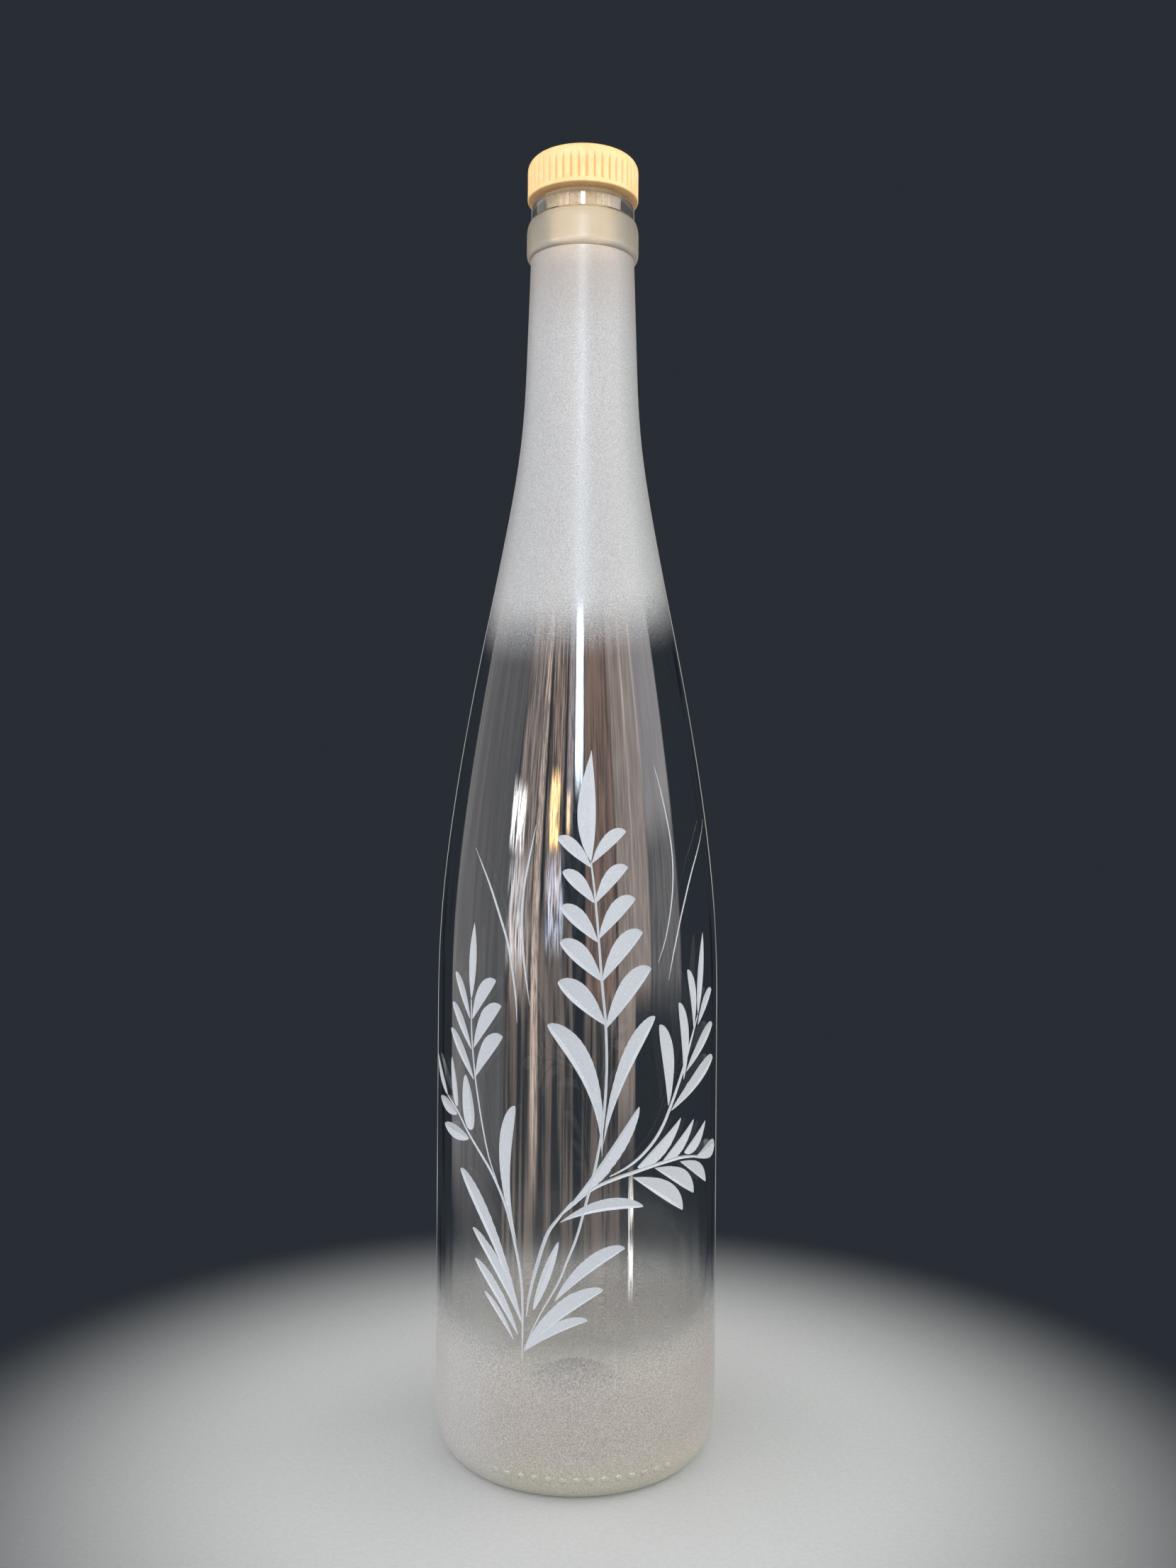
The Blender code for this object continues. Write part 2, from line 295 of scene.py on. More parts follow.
def grown(name, seed_mesh, tree, sizes):
    """The plain mesh that a tree grows from a seed mesh, with its faces turned outwards."""
    seed = linked(name, seed_mesh)
    modifier = seed.modifiers.new("Tree", "NODES")
    modifier.node_group = tree
    for item in tree.interface.items_tree:
        if item.in_out == "INPUT" and item.name in sizes:
            modifier[item.identifier] = sizes[item.name]
    depsgraph = bpy.context.evaluated_depsgraph_get()
    mesh = bpy.data.meshes.new_from_object(seed.evaluated_get(depsgraph), depsgraph=depsgraph)
    mesh.name = name
    bpy.data.objects.remove(seed)
    bm = bmesh.new()
    bm.from_mesh(mesh)
    bmesh.ops.recalc_face_normals(bm, faces=bm.faces)
    bm.to_mesh(mesh)
    bm.free()
    for slot in reversed(range(len(mesh.materials))):
        if mesh.materials[slot] is None:
            mesh.materials.pop(index=slot)
    return mesh


def outline_mesh(name, points):
    """An outline as a chain of points in the XZ plane."""
    mesh = bpy.data.meshes.new(name)
    mesh.from_pydata([(x, 0, z) for x, z in points], [(i, i + 1) for i in range(len(points) - 1)], [])
    return mesh


def turning(tree, outline, points, steps, change_radius=None):
    """Turns an outline about Z: a grid of its points by the steps, wrapped round and welded at its seam."""
    grid = Wire.node(tree, "GeometryNodeMeshGrid", inputs={"Vertices X": steps + 1, "Vertices Y": points})
    across, along, _ = split(own_position(tree))
    index = ((along + 0.5) * (points - 1)).math("ROUND")
    outline_point = Wire.node(
        tree, "GeometryNodeSampleIndex", {"data_type": "FLOAT_VECTOR"},
        {"Geometry": outline, "Value": own_position(tree), "Index": index}
    )
    radius, _, height = split(outline_point)
    turn = across + 0.5
    angle = turn * math.tau
    if change_radius:
        radius = change_radius(radius, height, turn)
    position = joined(tree, radius * angle.math("COSINE"), radius * angle.math("SINE"), height)
    wrapped = {"Geometry": moved(tree, grid, position), "Distance": WELD_GAP}
    return Wire.node(tree, "GeometryNodeMergeByDistance", inputs=wrapped)


turned_tree, sizes = geometry_tree("turned_on_the_axis", {"Points": "Int", "Steps": "Int"})
turned_glass = turning(turned_tree, sizes["Geometry"], sizes["Points"], sizes["Steps"])
close_tree(turned_tree, turned_glass, (sizes["Material"], True))


def mixed_shader(tree, factor, first, second):
    return Wire.node(tree, "ShaderNodeMixShader", inputs={0: factor, 1: first, 2: second})


def mixed_colour(tree, factor, first, second):
    values = {0: factor, 6: first, 7: second}
    return Wire.node(tree, "ShaderNodeMix", {"data_type": "RGBA"}, values, 2)


def smooth_step(value, low, high):
    """0 below low and 1 above high, with a smooth rise between."""
    settings = {"interpolation_type": "SMOOTHSTEP"}
    inputs = {"Value": value, "From Min": low, "From Max": high}
    return Wire.node(value.socket.id_data, "ShaderNodeMapRange", settings, inputs)


def noise(tree, place, size, detail=2.0, roughness=0.5):
    """Noise whose cells are of a size in metres."""
    inputs = {"Vector": place, "Scale": 1 / size, "Detail": detail, "Roughness": roughness}
    return Wire.node(tree, "ShaderNodeTexNoise", inputs=inputs)


def bump(tree, height, depth):
    return Wire.node(tree, "ShaderNodeBump", inputs={"Height": height, "Distance": depth, "Strength": 1.0})


def vector_math(tree, operation, *vectors, output=0):
    settings = {"operation": operation}
    return Wire.node(tree, "ShaderNodeVectorMath", settings, dict(enumerate(vectors)), output)


def material_tree(name):
    """An empty material, its tree and its Object coordinates."""
    material = bpy.data.materials.new(name)
    material.use_nodes = True
    tree = material.node_tree
    tree.nodes.clear()
    return material, tree, Wire.node(tree, "ShaderNodeTexCoord", output="Object")


def principled(tree, inputs):
    return Wire.node(tree, "ShaderNodeBsdfPrincipled", inputs=inputs)


def close_material(tree, shader):
    tree.links.new(shader.socket, tree.nodes.new("ShaderNodeOutputMaterial").inputs["Surface"])


def lets_light_through(tree, shader, share):
    """Glass that lets lamp light through to what is behind it, as a share of it."""
    shadow = Wire.node(tree, "ShaderNodeLightPath", output="Is Shadow Ray")
    clear = Wire.node(tree, "ShaderNodeBsdfTransparent")
    return mixed_shader(tree, shadow * share, shader, clear)


CLEAR_GLASS = {
    "Base Color": (0.985, 0.995, 0.988, 1), "Roughness": 0.0, "IOR": 1.52, "Transmission Weight": 1.0
}
POLISHED_SKIN = {"Coat Roughness": 0.0, "Coat IOR": 1.75}
FROSTED_GLASS = {
    "Roughness": 0.42, "IOR": 1.45, "Transmission Weight": 0.58, "Specular IOR Level": 1.0,
    "Coat Weight": 0.8, "Coat Roughness": 0.34, "Coat IOR": 1.5,
}
LAMP_LIGHT_THROUGH_GLASS = 0.94
LAMP_LIGHT_LOST_IN_FROST = 0.5
WAVE_SIZE = 5 * MM
WAVE_DEPTH = 0.03 * MM
WAVE_SHARE_OF_HEIGHT = 0.06
INNER_WAVE_SIZE = 7 * MM
INNER_WAVE_DEPTH = 0.3 * MM
INNER_WAVE_SHARE_OF_HEIGHT = 0.12

# The frost: the size of its grain and of its slow clouds, where it ends on the shoulders and above the
# foot, how far single drops went past that, how much of it the collar and the lip got, and the dark and
# the light colour of its grain on the neck, on the foot, which is painted darker and browner as painted
# shade, and on the heel, which is painted brighter and yellower as a painted glow along its rim, then the
# painted warm shade on the top of the neck and the painted glow of the cream plug seen through the collar
GRAIN_SIZE = 0.32 * MM
GRAIN_DEPTH = 0.07 * MM
CLOUD_SIZE = 14 * MM
UPPER_FROST_FOOT = 219.5 * MM
LOWER_FROST_TOP = 32.5 * MM
SPRAY_REACH = 9 * MM
FROST_ON_COLLAR = 0.45
FROST_ON_LIP = 0.2
THIN_SPRAY_ROUGHNESS = 0.36
NECK_FROST = ((0.53, 0.53, 0.54, 1), (0.84, 0.845, 0.86, 1))
FOOT_FROST_PAINTED_SHADE = ((0.37, 0.33, 0.305, 1), (0.75, 0.685, 0.64, 1))
HEEL_FROST_PAINTED_GLOW = ((0.52, 0.49, 0.36, 1), (0.90, 0.87, 0.74, 1))
WARM_NECK_PAINTED_SHADE = (0.60, 0.51, 0.45, 1)
PLUG_GLOW_PAINTED_ON_COLLAR = (1.0, 0.88, 0.68, 1)


def outer_glass():
    """Clear glass with the frost of the neck, the collar and the foot on it."""
    material, tree, place = material_tree("clear_and_frosted_glass")
    x, y, z = split(place)
    right, back, _ = split(vector_math(tree, "NORMALIZE", joined(tree, x, y, 0)))
    grain = noise(tree, place, GRAIN_SIZE, detail=2, roughness=0.8)
    cloud = noise(tree, place, CLOUD_SIZE, detail=1) - 0.5
    upper_edge = UPPER_FROST_FOOT + back * 7 * MM + right * 2 * MM + cloud * 4 * MM
    lower_edge = LOWER_FROST_TOP + right**2 * 5 * MM + cloud * 3 * MM
    spray = (grain - 0.5) * SPRAY_REACH
    upper = smooth_step(z - upper_edge + spray, -10 * MM, 9 * MM)
    lower = smooth_step(lower_edge - z + spray, -9 * MM, 6 * MM)
    lip = smooth_step(z, LIP_FOOT - 1 * MM, LIP_FOOT + 0.4 * MM)
    collar = smooth_step(z, COLLAR_FOOT - 1.5 * MM, COLLAR_FOOT + 3 * MM)
    thinly_sprayed = collar * (1 - lip)
    upper = upper * (1 - lip * (1 - FROST_ON_LIP)) * (1 - collar * (1 - FROST_ON_COLLAR))
    frost = (upper.math("MAXIMUM", lower) * (0.955 + grain * 0.1)).math("MINIMUM", 1.0)
    bright_grain = smooth_step(grain, 0.38, 0.64)
    # Painted shade: the foot's frost is painted darker and browner than the neck's
    colour, foot_colour_with_painted_light, heel_painted_glow = (
        mixed_colour(tree, bright_grain, *pair) for pair in (NECK_FROST, FOOT_FROST_PAINTED_SHADE, HEEL_FROST_PAINTED_GLOW)
    )
    # Painted glow: towards the base the foot turns brighter and yellower along the heel's rim
    foot_colour_with_painted_light = mixed_colour(tree, smooth_step(z, 15 * MM, 3 * MM) * 0.8, foot_colour_with_painted_light, heel_painted_glow)
    # Painted light from the left: the foot's left side is painted lighter and cooler, like the neck's frost
    foot_colour_with_painted_light = mixed_colour(tree, smooth_step(right, -0.35, -0.9) * 0.7, foot_colour_with_painted_light, colour)
    colour = mixed_colour(tree, smooth_step(lower_edge - z, -20 * MM, 10 * MM), colour, foot_colour_with_painted_light)
    # Painted shade: the top of the neck is painted darker and warmer
    painted_warm_shade = smooth_step(z, COLLAR_FOOT - 26 * MM, COLLAR_FOOT - 2 * MM) * 0.55
    colour = mixed_colour(tree, painted_warm_shade, colour, WARM_NECK_PAINTED_SHADE)
    # Painted glow: the collar is tinted with the cream of the plug seen through it
    colour = mixed_colour(tree, collar * 0.85, colour, PLUG_GLOW_PAINTED_ON_COLLAR)
    frosted = principled(tree, {
        **FROSTED_GLASS, "Base Color": colour, "Normal": bump(tree, grain, GRAIN_DEPTH)
    })
    waves = noise(tree, joined(tree, x, y, z * WAVE_SHARE_OF_HEIGHT), WAVE_SIZE, detail=1)
    clear = principled(tree, {
        **CLEAR_GLASS, **POLISHED_SKIN, "Normal": bump(tree, waves, WAVE_DEPTH),
        "Roughness": thinly_sprayed * THIN_SPRAY_ROUGHNESS, "Coat Weight": 1 - thinly_sprayed,
    })
    glass = mixed_shader(tree, frost, clear, frosted)
    passed = LAMP_LIGHT_THROUGH_GLASS - frost * LAMP_LIGHT_LOST_IN_FROST
    close_material(tree, lets_light_through(tree, glass, passed))
    return material


def inner_glass():
    """The clear inside, which the blowing left slightly wavy."""
    material, tree, place = material_tree("clear_inner_glass")
    stretched = vector_math(tree, "MULTIPLY", place, (1, 1, INNER_WAVE_SHARE_OF_HEIGHT))
    waves = noise(tree, stretched, INNER_WAVE_SIZE, detail=1)
    clear = principled(tree, {**CLEAR_GLASS, "Normal": bump(tree, waves, INNER_WAVE_DEPTH)})
    close_material(tree, lets_light_through(tree, clear, LAMP_LIGHT_THROUGH_GLASS))
    return material


outer_material = outer_glass()
inner_material = inner_glass()
inside, outside = inside_outline(), outside_outline()
outline = inside + outside
glass_mesh = grown(
    "glass_blank",
    outline_mesh("glass_outline", outline),
    turned_tree,
    {"Points": len(outline), "Steps": GLASS_STEPS, "Material": outer_material},
)
blank = linked("glass_blank", glass_mesh)


# Engraving
# Leaf sprays cut into the clear front with a stone wheel and left matt. Each leaf is one slanting furrow,
# steep on one side and flat on the other, and each stem and each long grass stroke is a thin V. A cutter
# stands a little proud of the glass, so that it leaves no skin.
CUT_PROUD = 0.15 * MM
LEAF_RINGS = 24
LEAF_SLOPE = 0.105
LEAF_OVERRUN = 0.45 * MM
STEM_SLOPE = 0.32
STEM_STEP = 1.4 * MM
STEM_PROUD_SHARE = 0.6
STEM_TAPER_SHARE = 0.35
RAY_START = 0.1
CUT_TOOTH = 0.22 * MM
CUT_TOOTH_DEPTH = 0.03 * MM
CUT_GLINT_SIZE = 0.35 * MM
LAMP_LIGHT_THROUGH_CUT = 0.4
# The tones of a cut's flat and steep faces; the steep faces are painted a little lighter, as painted light
FLAT_CUT_COLOURS = ((0.43, 0.45, 0.485, 1), (0.555, 0.575, 0.615, 1))
STEEP_CUT_PAINTED_LIGHT_COLOURS = ((0.44, 0.46, 0.495, 1), (0.565, 0.585, 0.625, 1))
# Painted glints: the white of the specks on the cut
PAINTED_GLINT_COLOUR = (1, 1, 1, 1)

# Each form of leaf: the share of its width right of its chord, the place of its furrow across the width
# from its left edge, how far up it is widest, and how pointed it is
LEAF_FORMS = {
    "left_leaflet": (0.74, 0.20, 1.6, 0.48),
    "right_leaflet": (0.10, 0.90, 1.67, 0.44),
    "left_blade": (0.72, 0.22, 3.0, 0.43),
    "right_blade": (0.28, 0.84, 2.6, 0.44),
    "spear": (0.50, 0.55, 1.0, 0.80),
    "tall_spear": (0.25, 0.68, 0.8, 1.05),
    "lens": (0.50, 0.45, 1.0, 0.62),
    "round_foot": (0.45, 0.60, 0.72, 0.55),
    "upright": (0.88, 0.22, 0.80, 0.72),
    "drooping": (0.10, 0.80, 1.35, 0.64),
    "low_blade": (0.70, 0.24, 1.60, 0.62),
    "low_bowed_leaf": (0.28, 0.80, 1.50, 0.56),
    "bud": (0.50, 0.45, 1.9, 0.50),
}

# Each leaf in millimetres on the unrolled glass: its foot and its tip, right of the front and above the
# base, then its width, its bow to the right as a share of its length, and its form
LEAVES = (
    (3.2, 154.8, 3.2, 181.9, 4.2, 0.0, "tall_spear"),
    (3.2, 153.4, -4.9, 160.6, 3.1, 0.0, "left_leaflet"),
    (3.5, 154.4, 11.9, 162.1, 3.1, 0.0, "right_leaflet"),
    (4.1, 144.9, -3.6, 152.5, 3.3, 0.0, "left_leaflet"),
    (4.5, 145.0, 12.4, 153.5, 3.4, 0.0, "right_leaflet"),
    (4.9, 135.6, -4.1, 144.1, 3.8, 0.0, "left_leaflet"),
    (5.4, 136.5, 14.4, 145.9, 3.8, 0.0, "right_leaflet"),
    (5.9, 126.3, -4.1, 135.8, 4.2, 0.0, "left_leaflet"),
    (6.3, 126.4, 16.4, 137.8, 4.2, 0.0, "right_leaflet"),
    (6.8, 115.8, -4.5, 126.2, 4.7, 0.0, "left_leaflet"),
    (7.3, 115.1, 18.8, 129.0, 4.5, 0.0, "right_leaflet"),
    (6.3, 83.0, -6.9, 116.0, 4.7, 0.105, "left_blade"),
    (6.5, 86.6, 19.9, 117.3, 3.6, -0.06, "right_blade"),
    (-29.0, 120.2, -28.2, 139.1, 2.6, 0.0, "spear"),
    (-29.4, 115.3, -36.0, 126.3, 2.4, 0.0, "left_leaflet"),
    (-28.5, 115.4, -20.8, 125.6, 3.3, 0.0, "right_leaflet"),
    (-28.8, 107.8, -37.4, 118.6, 2.6, 0.0, "left_leaflet"),
    (-27.9, 108.4, -19.2, 119.6, 3.6, 0.0, "right_leaflet"),
    (-27.8, 100.5, -38.2, 111.9, 2.8, 0.0, "left_leaflet"),
    (-27.2, 101.5, -18.7, 112.2, 3.7, 0.0, "right_leaflet"),
    (-40.1, 94.8, -50.9, 103.6, 2.8, 0.0, "lens"),
    (-34.8, 92.9, -37.6, 104.8, 2.5, 0.0, "round_foot"),
    (-34.7, 91.0, -45.6, 93.3, 3.3, 0.0, "lens"),
    (-28.8, 88.1, -31.1, 101.4, 4.2, 0.0, "round_foot"),
    (-29.6, 85.8, -42.0, 87.1, 3.5, 0.0, "lens"),
    (-14.2, 62.2, -15.3, 95.8, 3.3, -0.07, "right_blade"),
    (-12.7, 42.9, -32.9, 77.9, 3.4, 0.06, "left_blade"),
    (-12.8, 43.3, -27.9, 64.3, 2.6, 0.05, "left_leaflet"),
    (-13.9, 40.5, -27.0, 56.9, 2.4, 0.04, "left_leaflet"),
    (-15.0, 39.1, -23.8, 49.6, 1.4, 0.03, "left_leaflet"),
    (-3.9, 69.8, 15.7, 95.7, 3.1, 0.03, "low_blade"),
    (35.4, 116.0, 38.2, 136.4, 2.8, 0.0, "spear"),
    (33.5, 112.8, 30.8, 127.7, 2.5, 0.04, "left_leaflet"),
    (35.4, 113.4, 43.9, 121.4, 2.9, 0.0, "right_leaflet"),
    (29.5, 100.6, 27.6, 119.9, 2.8, 0.04, "left_leaflet"),
    (30.5, 102.5, 44.9, 112.4, 3.4, 0.0, "right_leaflet"),
    (24.2, 94.9, 21.4, 115.1, 3.5, 0.03, "left_leaflet"),
    (25.1, 93.6, 45.5, 103.7, 3.9, 0.0, "right_leaflet"),
    (34.4, 80.5, 48.2, 80.9, 4.4, 0.0, "bud"),
    (15.3, 81.1, 28.6, 91.5, 3.3, 0.0, "upright"),
    (22.4, 81.6, 33.8, 90.3, 3.0, 0.0, "upright"),
    (29.9, 82.7, 40.0, 88.8, 3.2, 0.0, "upright"),
    (14.1, 78.8, 29.4, 68.6, 4.2, 0.0, "drooping"),
    (20.1, 80.4, 33.9, 71.9, 3.9, 0.0, "drooping"),
    (28.3, 80.7, 40.4, 73.2, 3.1, 0.0, "drooping"),
    (-3.8, 68.5, 17.0, 71.5, 2.9, -0.095, "low_bowed_leaf"),
    (-10.1, 47.2, -4.0, 64.0, 2.2, 0.0, "lens"),
    (-4.8, 49.6, 12.2, 62.0, 3.3, -0.05, "right_leaflet"),
    (-12.5, 37.2, 6.9, 52.3, 3.5, -0.05, "right_leaflet"),
    (-12.3, 37.0, 3.1, 45.2, 2.4, -0.05, "right_leaflet"),
)

# Each stem and stroke in millimetres: its width at the top, in the middle and at the foot, then its points
# on the unrolled glass from the top down
STEMS = (
    (0.45, 0.66, 0.2, (
        (3.2, 154.8), (4.4, 145.1), (6.0, 126.4), (7.0, 116.1), (7.3, 104), (6.4, 91.6), (4.6, 81.3),
        (2.6, 73.5), (0.4, 65.3), (-2.0, 59.2), (-4.1, 54.0), (-9.0, 45.2), (-12.5, 37.2),
    )),
    (0.4, 0.5, 0.25, (
        (-29.0, 120.2), (-28.7, 111.1), (-27.4, 101.5), (-26.1, 95.4), (-24.4, 88.4), (-22.5, 82.1),
        (-20.1, 76.9),
    )),
    (0.4, 0.7, 0.2, (
        (-40.1, 94.8), (-34.7, 91.9), (-30.3, 87.7), (-26.0, 83.6), (-22.1, 79.3), (-18.9, 74.1),
        (-16.6, 68.5), (-14.1, 58.9), (-13.1, 52.6), (-12.8, 44.7), (-12.9, 34.7),
    )),
    (0.3, 0.85, 0.2, (
        (-0.9, 73.6), (-3.9, 69.8), (-6.9, 65.3), (-10.0, 55.4), (-11.3, 49.5), (-11.9, 45.4),
    )),
    (0.4, 0.9, 0.25, (
        (35.4, 116.0), (32.5, 110.3), (29.0, 102.7), (24.4, 93.7), (22.4, 90.2), (19.8, 86.9),
        (16.1, 83.6), (12.4, 81.3), (8.3, 79.5),
    )),
    (0.5, 0.9, 0.25, (
        (36.0, 80.5), (32.5, 81.2), (27.9, 81.7), (20.8, 81.2), (14.7, 80.1), (9.1, 78.7), (4.1, 76.6),
        (-0.8, 72.7),
    )),
    (0.1, 0.62, 0.1, (
        (-28.6, 157.5), (-23.2, 148.7), (-18.7, 138.3), (-17.0, 132.7), (-15.3, 122.8), (-14.8, 115.8),
    )),
    (0.1, 0.60, 0.1, (
        (-10.3, 163.6), (-12.1, 154.7), (-13.4, 147.5), (-13.7, 139.5), (-13.1, 130.8), (-11.5, 120.2),
    )),
    (0.1, 0.42, 0.1, (
        (19.9, 178.3), (22.9, 168.7), (25.1, 159.3), (25.7, 151.5), (25.0, 144.0), (23.1, 135.9),
        (20.8, 130.1),
    )),
    (0.1, 0.48, 0.1, ((43.0, 164.6), (34.0, 152.9), (29.2, 142.9), (26.0, 133.2), (24.1, 125.7))),
)


def cut_material(name, dark, light, roughness):
    """Ground glass: a fine milky tooth, with white specks painted on it as glints."""
    material, tree, place = material_tree(name)
    tooth = noise(tree, place, CUT_TOOTH, detail=2, roughness=0.7)
    painted_glints = smooth_step(noise(tree, place, CUT_GLINT_SIZE, detail=1), 0.70, 0.80)
    colour = mixed_colour(tree, smooth_step(tooth, 0.3, 0.7), dark, light)
    colour = mixed_colour(tree, painted_glints, colour, PAINTED_GLINT_COLOUR)
    ground = principled(tree, {
        "Base Color": colour, "Roughness": roughness, "IOR": 1.45, "Transmission Weight": 0.2,
        "Normal": bump(tree, tooth, CUT_TOOTH_DEPTH),
    })
    close_material(tree, lets_light_through(tree, ground, LAMP_LIGHT_THROUGH_CUT))
    return material


# The steep faces of a cut get a lighter copy of the ground glass: painted light on them
flat_cut_material = cut_material("matt_cut_glass", *FLAT_CUT_COLOURS, 0.5)
lit_steep_cut_material = cut_material("painted_lit_cut_edge", *STEEP_CUT_PAINTED_LIGHT_COLOURS, 0.4)


def mesh_of(tree, thing):
    return Wire.node(tree, "GeometryNodeObjectInfo", inputs={"Object": thing}, output="Geometry")


def laid_on_glass(tree, glass, across, height, proud):
    """The place on the turned glass of a point of the unrolled sheet that stands proud of it."""
    ray = {
        "Target Geometry": mesh_of(tree, glass), "Source Position": joined(tree, 0, -RAY_START, height),
        "Ray Direction": (0, 1, 0), "Ray Length": RAY_START,
    }
    hit = Wire.node(tree, "GeometryNodeRaycast", inputs=ray, output="Hit Position")
    radius = split(hit)[1] * -1
    angle = across / radius
    reach = radius + proud
    return joined(tree, reach * angle.math("SINE"), reach * angle.math("COSINE") * -1, height)


def attribute(tree, name):
    return Wire.node(tree, "GeometryNodeInputNamedAttribute", inputs={"Name": name}, output="Attribute")


def mesh_with(name, vertices, edges, faces, attributes):
    """A mesh with a number stored on each point under each attribute's name."""
    mesh = bpy.data.meshes.new(name)
    mesh.from_pydata(vertices, edges, faces)
    for title, values in attributes.items():
        mesh.attributes.new(title, "FLOAT", "POINT").data.foreach_set("value", values)
    return mesh


def leaf_pattern():
    """A leaf cutter of length 1: rings of a left edge, a right edge and a furrow between its two tips."""
    # Corner 1 is the left edge, 2 the right edge and 3 the furrow. End is -1 at the foot and 1 at the tip
    rows = [(0, 0, -1)]
    for ring in range(LEAF_RINGS + 1):
        share = 0.5 - 0.5 * math.cos(math.pi * ring / LEAF_RINGS)
        rows += [(share, 1, 0), (share, 2, 0), (share, 3, 0)]
    rows.append((1, 0, 1))
    last = len(rows) - 1
    faces = [(0, 1 + corner, 1 + (corner + 1) % 3) for corner in range(3)]
    faces += [(last, last - 3 + corner, last - 3 + (corner + 1) % 3) for corner in range(3)]
    for ring in range(LEAF_RINGS):
        base = 1 + 3 * ring
        for corner in range(3):
            after = (corner + 1) % 3
            faces.append((base + corner, base + after, base + 3 + after, base + 3 + corner))
    columns = list(zip(*rows))
    vertices = [(share, 0, 0) for share in columns[0]]
    return mesh_with(
        "leaf_pattern", vertices, [], faces, {"share": columns[0], "corner": columns[1], "end": columns[2]}
    )


LEAF_MEASURES = (
    "foot_across", "foot_height", "length", "heading", "width", "bow", "right_share", "furrow", "swell",
    "pointedness",
)
leaf_tree, sizes = geometry_tree("engraved_leaves", {
    "Leaf": "Object", "Glass": "Object", "Proud": "Float", "Slope": "Float", "Overrun": "Float",
    "Lit Steep Material": "Material",
})
leaves = Wire.node(leaf_tree, "GeometryNodeInstanceOnPoints", inputs={
    "Points": sizes["Geometry"], "Instance": mesh_of(leaf_tree, sizes["Leaf"])
})
leaves = realized(leaf_tree, leaves)
share, corner, end = (attribute(leaf_tree, name) for name in ("share", "corner", "end"))
foot_across, foot_height, length, heading, width, bow, right_share, furrow, swell, pointedness = (
    attribute(leaf_tree, name) for name in LEAF_MEASURES
)
is_left, is_right, is_furrow = (corner.math("COMPARE", code, 0.1) for code in (1, 2, 3))
is_end = end.math("ABSOLUTE")
fullness = ((share**swell) * math.pi).math("SINE").math("MAXIMUM", 0.0) ** pointedness
spread = sizes["Proud"] / sizes["Slope"]
side_shift = is_right * (1 - furrow) - is_left * furrow
lean = (is_right + is_furrow * furrow + right_share - 1) * width * fullness * (1 - is_end)
sideways = lean + side_shift * spread + bow * length * share * (1 - share) * 4
along = share * length + end * sizes["Overrun"]
depth = is_furrow * (sizes["Slope"] * width * fullness + sizes["Proud"])
proud = sizes["Proud"] - depth
cosine, sine = heading.math("COSINE"), heading.math("SINE")
leaf_across = foot_across + along * sine + sideways * cosine
leaf_height = foot_height + along * cosine - sideways * sine
leaf_place = laid_on_glass(leaf_tree, sizes["Glass"], leaf_across, leaf_height, proud)
leaves = moved(leaf_tree, leaves, leaf_place)
# A face between the furrow and the left edge has the mean corner 2, and one to the right edge 2.5
is_steep = corner.math("COMPARE", furrow.math("GREATER_THAN", 0.5) * 0.5 + 2, 0.1)
close_tree(leaf_tree, leaves, (sizes["Material"], True), (sizes["Lit Steep Material"], is_steep))

rows = []
for across, height, tip_across, tip_height, leaf_width, leaf_bow, form in LEAVES:
    rise, drift = tip_height - height, tip_across - across
    rows.append((
        across * MM, height * MM, math.hypot(rise, drift) * MM, math.atan2(drift, rise),
        leaf_width * MM, leaf_bow, *LEAF_FORMS[form],
    ))
columns = dict(zip(LEAF_MEASURES, zip(*rows)))
leaf_points = mesh_with("leaf_feet", [(0, 0, 0)] * len(rows), [], [], columns)
pattern_object = linked("leaf_pattern", leaf_pattern())
leaf_cutters = grown("leaf_cutters", leaf_points, leaf_tree, {
    "Leaf": pattern_object, "Glass": blank, "Proud": CUT_PROUD, "Slope": LEAF_SLOPE,
    "Overrun": LEAF_OVERRUN, "Material": flat_cut_material, "Lit Steep Material": lit_steep_cut_material,
})

stem_tree, sizes = geometry_tree(
    "engraved_stems", {"Profile": "Object", "Glass": "Object", "Step": "Float"}
)
profile = Wire.node(stem_tree, "GeometryNodeMeshToCurve", inputs={0: mesh_of(stem_tree, sizes["Profile"])})
stems = Wire.node(stem_tree, "GeometryNodeMeshToCurve", inputs={0: sizes["Geometry"]})
stems = Wire.node(
    stem_tree, "GeometryNodeCurveSplineType", {"spline_type": "CATMULL_ROM"}, {"Curve": stems}
)
stems = Wire.node(
    stem_tree, "GeometryNodeResampleCurve", {"mode": "LENGTH"}, {"Curve": stems, "Length": sizes["Step"]}
)
stems = Wire.node(stem_tree, "GeometryNodeSetCurveNormal", {"mode": "Z_UP"}, {"Curve": stems})
stems = Wire.node(stem_tree, "GeometryNodeCurveToMesh", inputs={
    "Curve": stems, "Profile Curve": profile, "Scale": attribute(stem_tree, "width"), "Fill Caps": True
})
stem_place = laid_on_glass(stem_tree, sizes["Glass"], *split(own_position(stem_tree)))
stems = moved(stem_tree, stems, stem_place)
close_tree(stem_tree, stems, (sizes["Material"], True))

